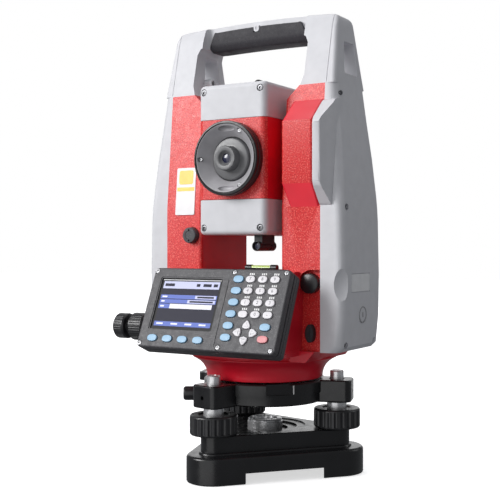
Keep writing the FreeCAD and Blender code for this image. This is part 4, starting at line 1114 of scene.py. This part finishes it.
def screenFinish(name, colour, glow):
    # a lit field with the fine grid of its picture cells
    finish = newFinish(name, colour, 0.35)
    finish.node_tree.nodes["Principled BSDF"].inputs["Specular IOR Level"].default_value = 0.12
    nodes = finish.node_tree.nodes
    links = finish.node_tree.links
    place = nodes.new("ShaderNodeTexCoord")
    cells = nodes.new("ShaderNodeTexChecker")
    cells.inputs["Scale"].default_value = 1 / (0.24 * mm)
    low, high = shades(colour, 0.06)
    cells.inputs["Color1"].default_value = (*low, 1)
    cells.inputs["Color2"].default_value = (*high, 1)
    links.new(place.outputs["Object"], cells.inputs["Vector"])
    shader = nodes["Principled BSDF"]
    links.new(cells.outputs["Color"], shader.inputs["Base Color"])
    links.new(cells.outputs["Color"], shader.inputs["Emission Color"])
    shader.inputs["Emission Strength"].default_value = glow
    return finish


legendInk = paintFinish("legendInk", (0.10, 0.10, 0.12), 0.3, 0.004, 0.5, variation=0.1)
screenLilac = screenFinish("screenLilac", (0.55, 0.57, 0.78), 0.16)
screenWhite = screenFinish("screenWhite", (0.78, 0.78, 0.86), 0.18)
screenBlue = screenFinish("screenBlue", (0.12, 0.17, 0.50), 0.22)
screenNavy = screenFinish("screenNavy", (0.010, 0.010, 0.026), 0.2)
screenBlack = screenFinish("screenBlack", (0.010, 0.010, 0.012), 0.0)
screwSteel = metalFinish("screwSteel", (0.34, 0.34, 0.35), 0.42, (1, 1, 6))
makeDisplay()
makeScreen()
print("display ready")


# telescope

scope = {"half": 29.3, "front": 48.3, "tall": 55.5, "seam": 29.5, "corner": 5,
         "discRadius": 27.2, "discFront": 57.5}


def scopeOutline(inset=0.0):
    s = scope
    half, front, corner = s["half"] - inset, s["front"] - inset, s["corner"]
    return roundedOutline(-half, -front, half, front, corner, 5)


def makeScopeBody():
    s = scope
    body = cutFromSheet("scopeBody", scopeOutline(), "XY", tiltHeight - s["seam"] + 0.12,
                        tiltHeight + s["seam"] - 0.12)
    recess = addRod("recess", 20.3, (0, -50, tiltHeight), 4.4, "y", 96)
    bore = addRod("bore", 12.4, (0, -50, tiltHeight), 32, "y", 64)
    objective = addRod("objectiveBore", 21.0, (0, 12, tiltHeight), 40, "y", 64)
    stubs = addRod("stubBore", 11.9, (-40, 0, tiltHeight), 18, "x", 64)
    stubsRight = addRod("stubBore", 11.9, (22, 0, tiltHeight), 18, "x", 64)
    carve(body, recess, bore, objective, stubs, stubsRight)
    breakEdges(body, 0.25, 2, 60)
    for finish in (redPaint, smoothRedShadeTint, blackPlastic):
        body.data.materials.append(finish)
    # faces turned to the sides take the smooth red with its painted shade tint
    chooseFaces(body, lambda c, n: abs(n.x) > 0.9)
    body.active_material_index = 1
    bpy.ops.object.material_slot_assign()
    # the bores are left black
    chooseFaces(body, lambda c, n: math.hypot(c.x, c.z - tiltHeight) < 21.2 and abs(c.y) < 48)
    body.active_material_index = 2
    bpy.ops.object.material_slot_assign()
    bpy.ops.object.mode_set(mode="OBJECT")
    finishPiece(body, None, "telescope", "red_paint", "telescope_body", angle=40)


def makeScopeCovers():
    s = scope
    covers = []
    for sign in (1, -1):
        low, high = sorted((tiltHeight + sign * (s["seam"] + 0.12), tiltHeight + sign * s["tall"]))
        cover = cutFromSheet("scopeCover", scopeOutline(), "XY", low, high)
        end = tiltHeight + sign * s["tall"]
        roundEdges(cover, 3.6, lambda a, b: abs(a.z - end) < 0.05 and abs(b.z - end) < 0.05, 5)
        for side in (1, -1):
            spot = (side * (s["half"] - 5.0), -s["front"] + 0.0, end - sign * 5.2)
            carve(cover, addRod("screwSeat", 2.9, (spot[0], -s["front"] - 4, spot[2]), 6.2, "y", 32,
                                endRadius=2.5))
        breakEdges(cover, 0.25, 2, 60)
        covers.append(cover)
    finishPiece(gather("scopeCovers", *covers), greyPlastic, "telescope", "grey_plastic",
                "telescope_covers", angle=40)
    heads = []
    for side in (1, -1):
        for sign in (1, -1):
            head = turnOnLathe("scopeScrew", [(0, -46.2), (2.4, -46.2), (2.4, -47.2), (2.0, -47.6),
                                              (1.1, -47.7), (1.0, -46.9), (0, -46.9)],
                               (side * (s["half"] - 5.0), 0, tiltHeight + sign * (s["tall"] - 5.2)), "y", 24)
            heads.append(head)
    finishPiece(gather("scopeScrews", *heads), darkSteel, "telescope", "bright_steel",
                "telescope_screws")


def makeFocusRing():
    f = -scope["discFront"]
    disc = turnOnLathe("focusRing", [
        (20, -48.6), (27.0, -48.6), (27.2, -49.2), (27.2, -52.6), (26.8, -52.9), (26.8, -53.5),
        (27.2, -53.8), (27.2, f + 0.9), (26.6, f + 0.15), (25.6, f), (25.3, f + 0.9), (24.9, f + 0.9),
        (24.7, f + 0.15), (24.0, f + 0.5), (16.4, f + 9.6), (16.3, f + 11.3), (20, f + 11.3),
        (20, -48.6)], (0, 0, tiltHeight), "y", 144)
    dimples = []
    for sign in (1, -1):
        # a smooth bean-shaped finger hollow at the top and at the bottom
        bpy.ops.object.select_all(action="DESELECT")
        bpy.ops.mesh.primitive_uv_sphere_add(segments=40, ring_count=20, radius=1)
        bean = nameIt("dimple")
        moveTo(bean, (0, f + 2.6, tiltHeight + sign * 21.5),
               Matrix.Diagonal((7.0 * mm, 3.4 * mm, 2.4 * mm, 1)))
        dimples.append(bean)
    carve(disc, *dimples)
    seats = []
    for degrees in (180, 60, -60):
        x, z, _ = aroundAxis(22.4, degrees)
        seats.append(addRod("seat", 1.85, (x, f - 1, tiltHeight + z), 4.6, "y", 24))
    carve(disc, *seats)
    breakEdges(disc, 0.18, 2, 50)
    # the dish takes a light grey, a painted reflection standing in for the sheen on its satin black plastic; the outer
    # rim stays black
    disc.data.materials.append(discPaintedSheen)
    disc.data.materials.append(blackPlastic)
    chooseFaces(disc, lambda c, n: math.hypot(c.x, c.z - tiltHeight) > 24.6)
    disc.active_material_index = 1
    bpy.ops.object.material_slot_assign()
    bpy.ops.object.mode_set(mode="OBJECT")
    finishPiece(disc, None, "focus", "black_plastic", "focus_ring", angle=35)
    heads = []
    for degrees in (180, 60, -60):
        x, z, _ = aroundAxis(22.4, degrees)
        head = turnOnLathe("discScrew", [(0, 0), (1.6, 0), (1.6, -0.9), (1.3, -1.2), (0.5, -1.2), (0, -0.7)],
                           (x, f + 3.6, tiltHeight + z), "y", 24)
        heads.append(head)
    finishPiece(gather("discScrews", *heads), screwSteel, "focus", "black_plastic")


def makeEyepiece():
    f = -scope["discFront"]
    tube = turnOnLathe("eyepieceTube", [
        (0, -20), (12, -20), (12, -46.1), (16, -46.1), (15.8, -47.5), (15, -49.6), (14.2, -50.1),
        (10.4, -50.2), (9.3, -50.5), (9.0, -51.2), (9.0, f + 1.0), (8.4, f + 0.1), (6.2, f),
        (5.2, f + 0.5), (4.6, f + 1.6), (3.5, f + 2.2), (3.4, f + 3.2), (0, f + 3.2)],
        (0, 0, tiltHeight), "y", 96)
    finishPiece(tube, eyeGrey, "ocular", "black_plastic", "eyepiece", angle=35)
    lens = turnOnLathe("eyepieceLens", [(0, f + 3.3), (3.35, f + 3.3), (3.35, f + 2.9), (2.2, f + 2.45),
                                        (0, f + 2.2)], (0, 0, tiltHeight), "y", 48)
    finishPiece(lens, lensGlass, "ocular", "black_plastic", angle=60)


def makeObjective():
    cell = turnOnLathe("objectiveCell", [
        (18, 12), (21, 12), (21, 48.4), (25.8, 48.4), (26, 48.8), (26, 51), (25.4, 51.4), (25.4, 52.2),
        (26, 52.6), (26, 63.8), (25.2, 64.9), (23.2, 65), (22.6, 64.4), (21.6, 60.4), (21.0, 60.2),
        (20.6, 57.6), (18, 57.2), (18, 12)], (0, 0, tiltHeight), "y", 128)
    finishPiece(cell, blackPlastic, "telescope", "black_plastic", "objective_cell", angle=35)
    glass = turnOnLathe("objectiveGlass", [(0, 50), (20.6, 50), (20.6, 57.4), (17, 58.3), (12, 59.0),
                                           (6, 59.45), (0, 59.6)], (0, 0, tiltHeight), "y", 96)
    finishPiece(glass, lensGlass, "telescope", "black_plastic", angle=60)


def makeTrunnions():
    halves = []
    for sign in (-1, 1):
        stub = turnOnLathe("trunnion", [(0, 22.5), (11.8, 22.5), (11.8, 29.4), (16, 29.4), (16.4, 29.8),
                                        (16.4, 34.0), (16, 34.4), (12, 34.4), (12, 69), (11.2, 69.7),
                                        (0, 69.7)], (0, 0, 0), "x", 96)
        turn = Matrix.Rotation(math.pi if sign < 0 else 0, 4, "Z")
        halves.append(moveTo(stub, (0, 0, tiltHeight), turn))
    finishPiece(gather("trunnionShaft", *halves), darkSteel, "telescope", "bright_steel",
                "trunnion_shaft")


def makeSights():
    pieces = []
    for x, z, sign, radius, start, length in ((0, 294.7, 1, 4.0, -11, 34), (18, 171.4, -1, 3.7, -43, 24)):
        tube = turnOnLathe("sightTube", [(0, 2.4), (radius - 1.4, 2.2), (radius - 0.9, 0.4), (radius - 0.5, 0),
                                         (radius - 0.1, 0.2), (radius, 0.8), (radius, length * 0.62),
                                         (radius - 0.4, length * 0.64), (radius - 0.4, length * 0.68),
                                         (radius, length * 0.70), (radius, length - 0.8),
                                         (radius - 0.6, length), (radius - 1.4, length - 0.3), (0, length - 1)],
                           (x, start, z), "y", 48)
        low, high = sorted((z - sign * 1.0, tiltHeight + sign * 53.0))
        foot = addBlock("sightFoot", (x - 3.4, start + 3, low), (x + 3.4, start + length - 3, high))
        weld(tube, foot)
        breakEdges(tube, 0.4, 2, 50)
        pieces.append(tube)
    finishPiece(gather("scopeSights", *pieces), blackPlastic, "telescope", "black_plastic", "sights")
    lens = turnOnLathe("sightLens", [(0, -41.2), (2.0, -41.0), (2.0, -40.5), (0, -40.5)], (18, 0, 171.4), "y", 32)
    finishPiece(lens, lensGlass, "telescope", "black_plastic", angle=60)


# the dish grey is lightened: a painted reflection of the surroundings on black plastic
discPaintedSheen = paintFinish("discPaintedSheen", (0.43, 0.42, 0.44), 0.5, 0.012, 0.36, variation=0.08)
eyeGrey = paintFinish("eyeGrey", (0.13, 0.13, 0.135), 0.5, 0.012, 0.33, variation=0.08)
lensGlass = paintFinish("lensGlass", (0.010, 0.012, 0.045), 5, 0.001, 0.04, coat=1.0, variation=0.2)
for make in (makeScopeBody, makeScopeCovers, makeFocusRing, makeEyepiece, makeObjective,
             makeTrunnions, makeSights):
    make()
print("telescope ready")


# studio

def makeStudio():
    putDown()
    bpy.ops.mesh.primitive_plane_add(size=8, location=(0, 0, -0.0002))
    floor = nameIt("studioFloor")
    settle(floor)
    paper = paintFinish("floorPaper", (0.92, 0.92, 0.92), 40, 0.01, 0.7, coat=0, variation=0.004)
    # the paper glows with painted light, stronger away from the object, so that it meets the white behind it
    nodes = paper.node_tree.nodes
    links = paper.node_tree.links
    place = nodes.new("ShaderNodeTexCoord")
    reach = nodes.new("ShaderNodeMapping")
    reach.inputs["Scale"].default_value = (0.55, 0.55, 0.55)
    glow = nodes.new("ShaderNodeTexGradient")
    glow.gradient_type = "SPHERICAL"
    links.new(place.outputs["Object"], reach.inputs["Vector"])
    links.new(reach.outputs["Vector"], glow.inputs["Vector"])
    spread(paper, glow.outputs["Fac"], "Emission Color", ((0.0, 1.0), (0.8, 0.62)))
    nodes["Principled BSDF"].inputs["Emission Strength"].default_value = 1.0
    floor.data.materials.append(paper)
    # the paper carries the shadow but throws no light back up on the object
    floor.visible_diffuse = False
    floor.visible_glossy = False
    lamps = (
        ("keyLamp", (-1.05, -1.35, 0.95), 0.9, 27),
        ("fillLamp", (0.05, -1.8, 0.25), 2.2, 12),
        ("backLamp", (-0.95, 1.55, 0.55), 1.8, 9),
        ("rimLamp", (1.5, 0.9, 0.9), 0.8, 3),
        ("topLamp", (-0.2, 0.1, 1.7), 1.2, 8),
    )
    for name, place, size, power in lamps:
        light = bpy.data.lights.new(name, "AREA")
        light.size = size
        light.energy = power
        lamp = bpy.data.objects.new(name, light)
        lamp.location = place
        lamp.visible_camera = False
        lamp.rotation_euler = (Vector((0, 0, 0.18)) - Vector(place)).to_track_quat("-Z", "Y").to_euler()
        bpy.context.collection.objects.link(lamp)
    # white behind the object, and a weaker light from all round on it
    world = bpy.data.worlds.new("studioWorld")
    world.use_nodes = True
    nodes = world.node_tree.nodes
    links = world.node_tree.links
    soft = nodes["Background"]
    soft.inputs["Color"].default_value = (0.92, 0.95, 1.0, 1)
    soft.inputs["Strength"].default_value = 0.20
    white = nodes.new("ShaderNodeBackground")
    white.inputs["Strength"].default_value = 1.0
    white.inputs["Color"].default_value = (1, 1, 1, 1)
    path = nodes.new("ShaderNodeLightPath")
    blend = nodes.new("ShaderNodeMixShader")
    links.new(path.outputs["Is Camera Ray"], blend.inputs["Fac"])
    links.new(soft.outputs["Background"], blend.inputs[1])
    links.new(white.outputs["Background"], blend.inputs[2])
    links.new(blend.outputs["Shader"], nodes["World Output"].inputs["Surface"])
    bpy.context.scene.world = world


def makeCamera():
    view = {"turn": 30.7, "distance": 741, "height": 171.6, "lens": 68.9, "pitch": 0.253, "shift": 0.03}
    lens = bpy.data.cameras.new("studioCamera")
    lens.lens = view["lens"]
    lens.sensor_width = 36
    lens.shift_x = -view["shift"]
    camera = bpy.data.objects.new("studioCamera", lens)
    turn = math.radians(view["turn"])
    camera.location = (view["distance"] * math.sin(turn) * mm, -view["distance"] * math.cos(turn) * mm,
                       view["height"] * mm)
    camera.rotation_euler = (math.radians(90 - view["pitch"]), 0, turn)
    bpy.context.collection.objects.link(camera)
    bpy.context.scene.camera = camera


makeStudio()
makeCamera()
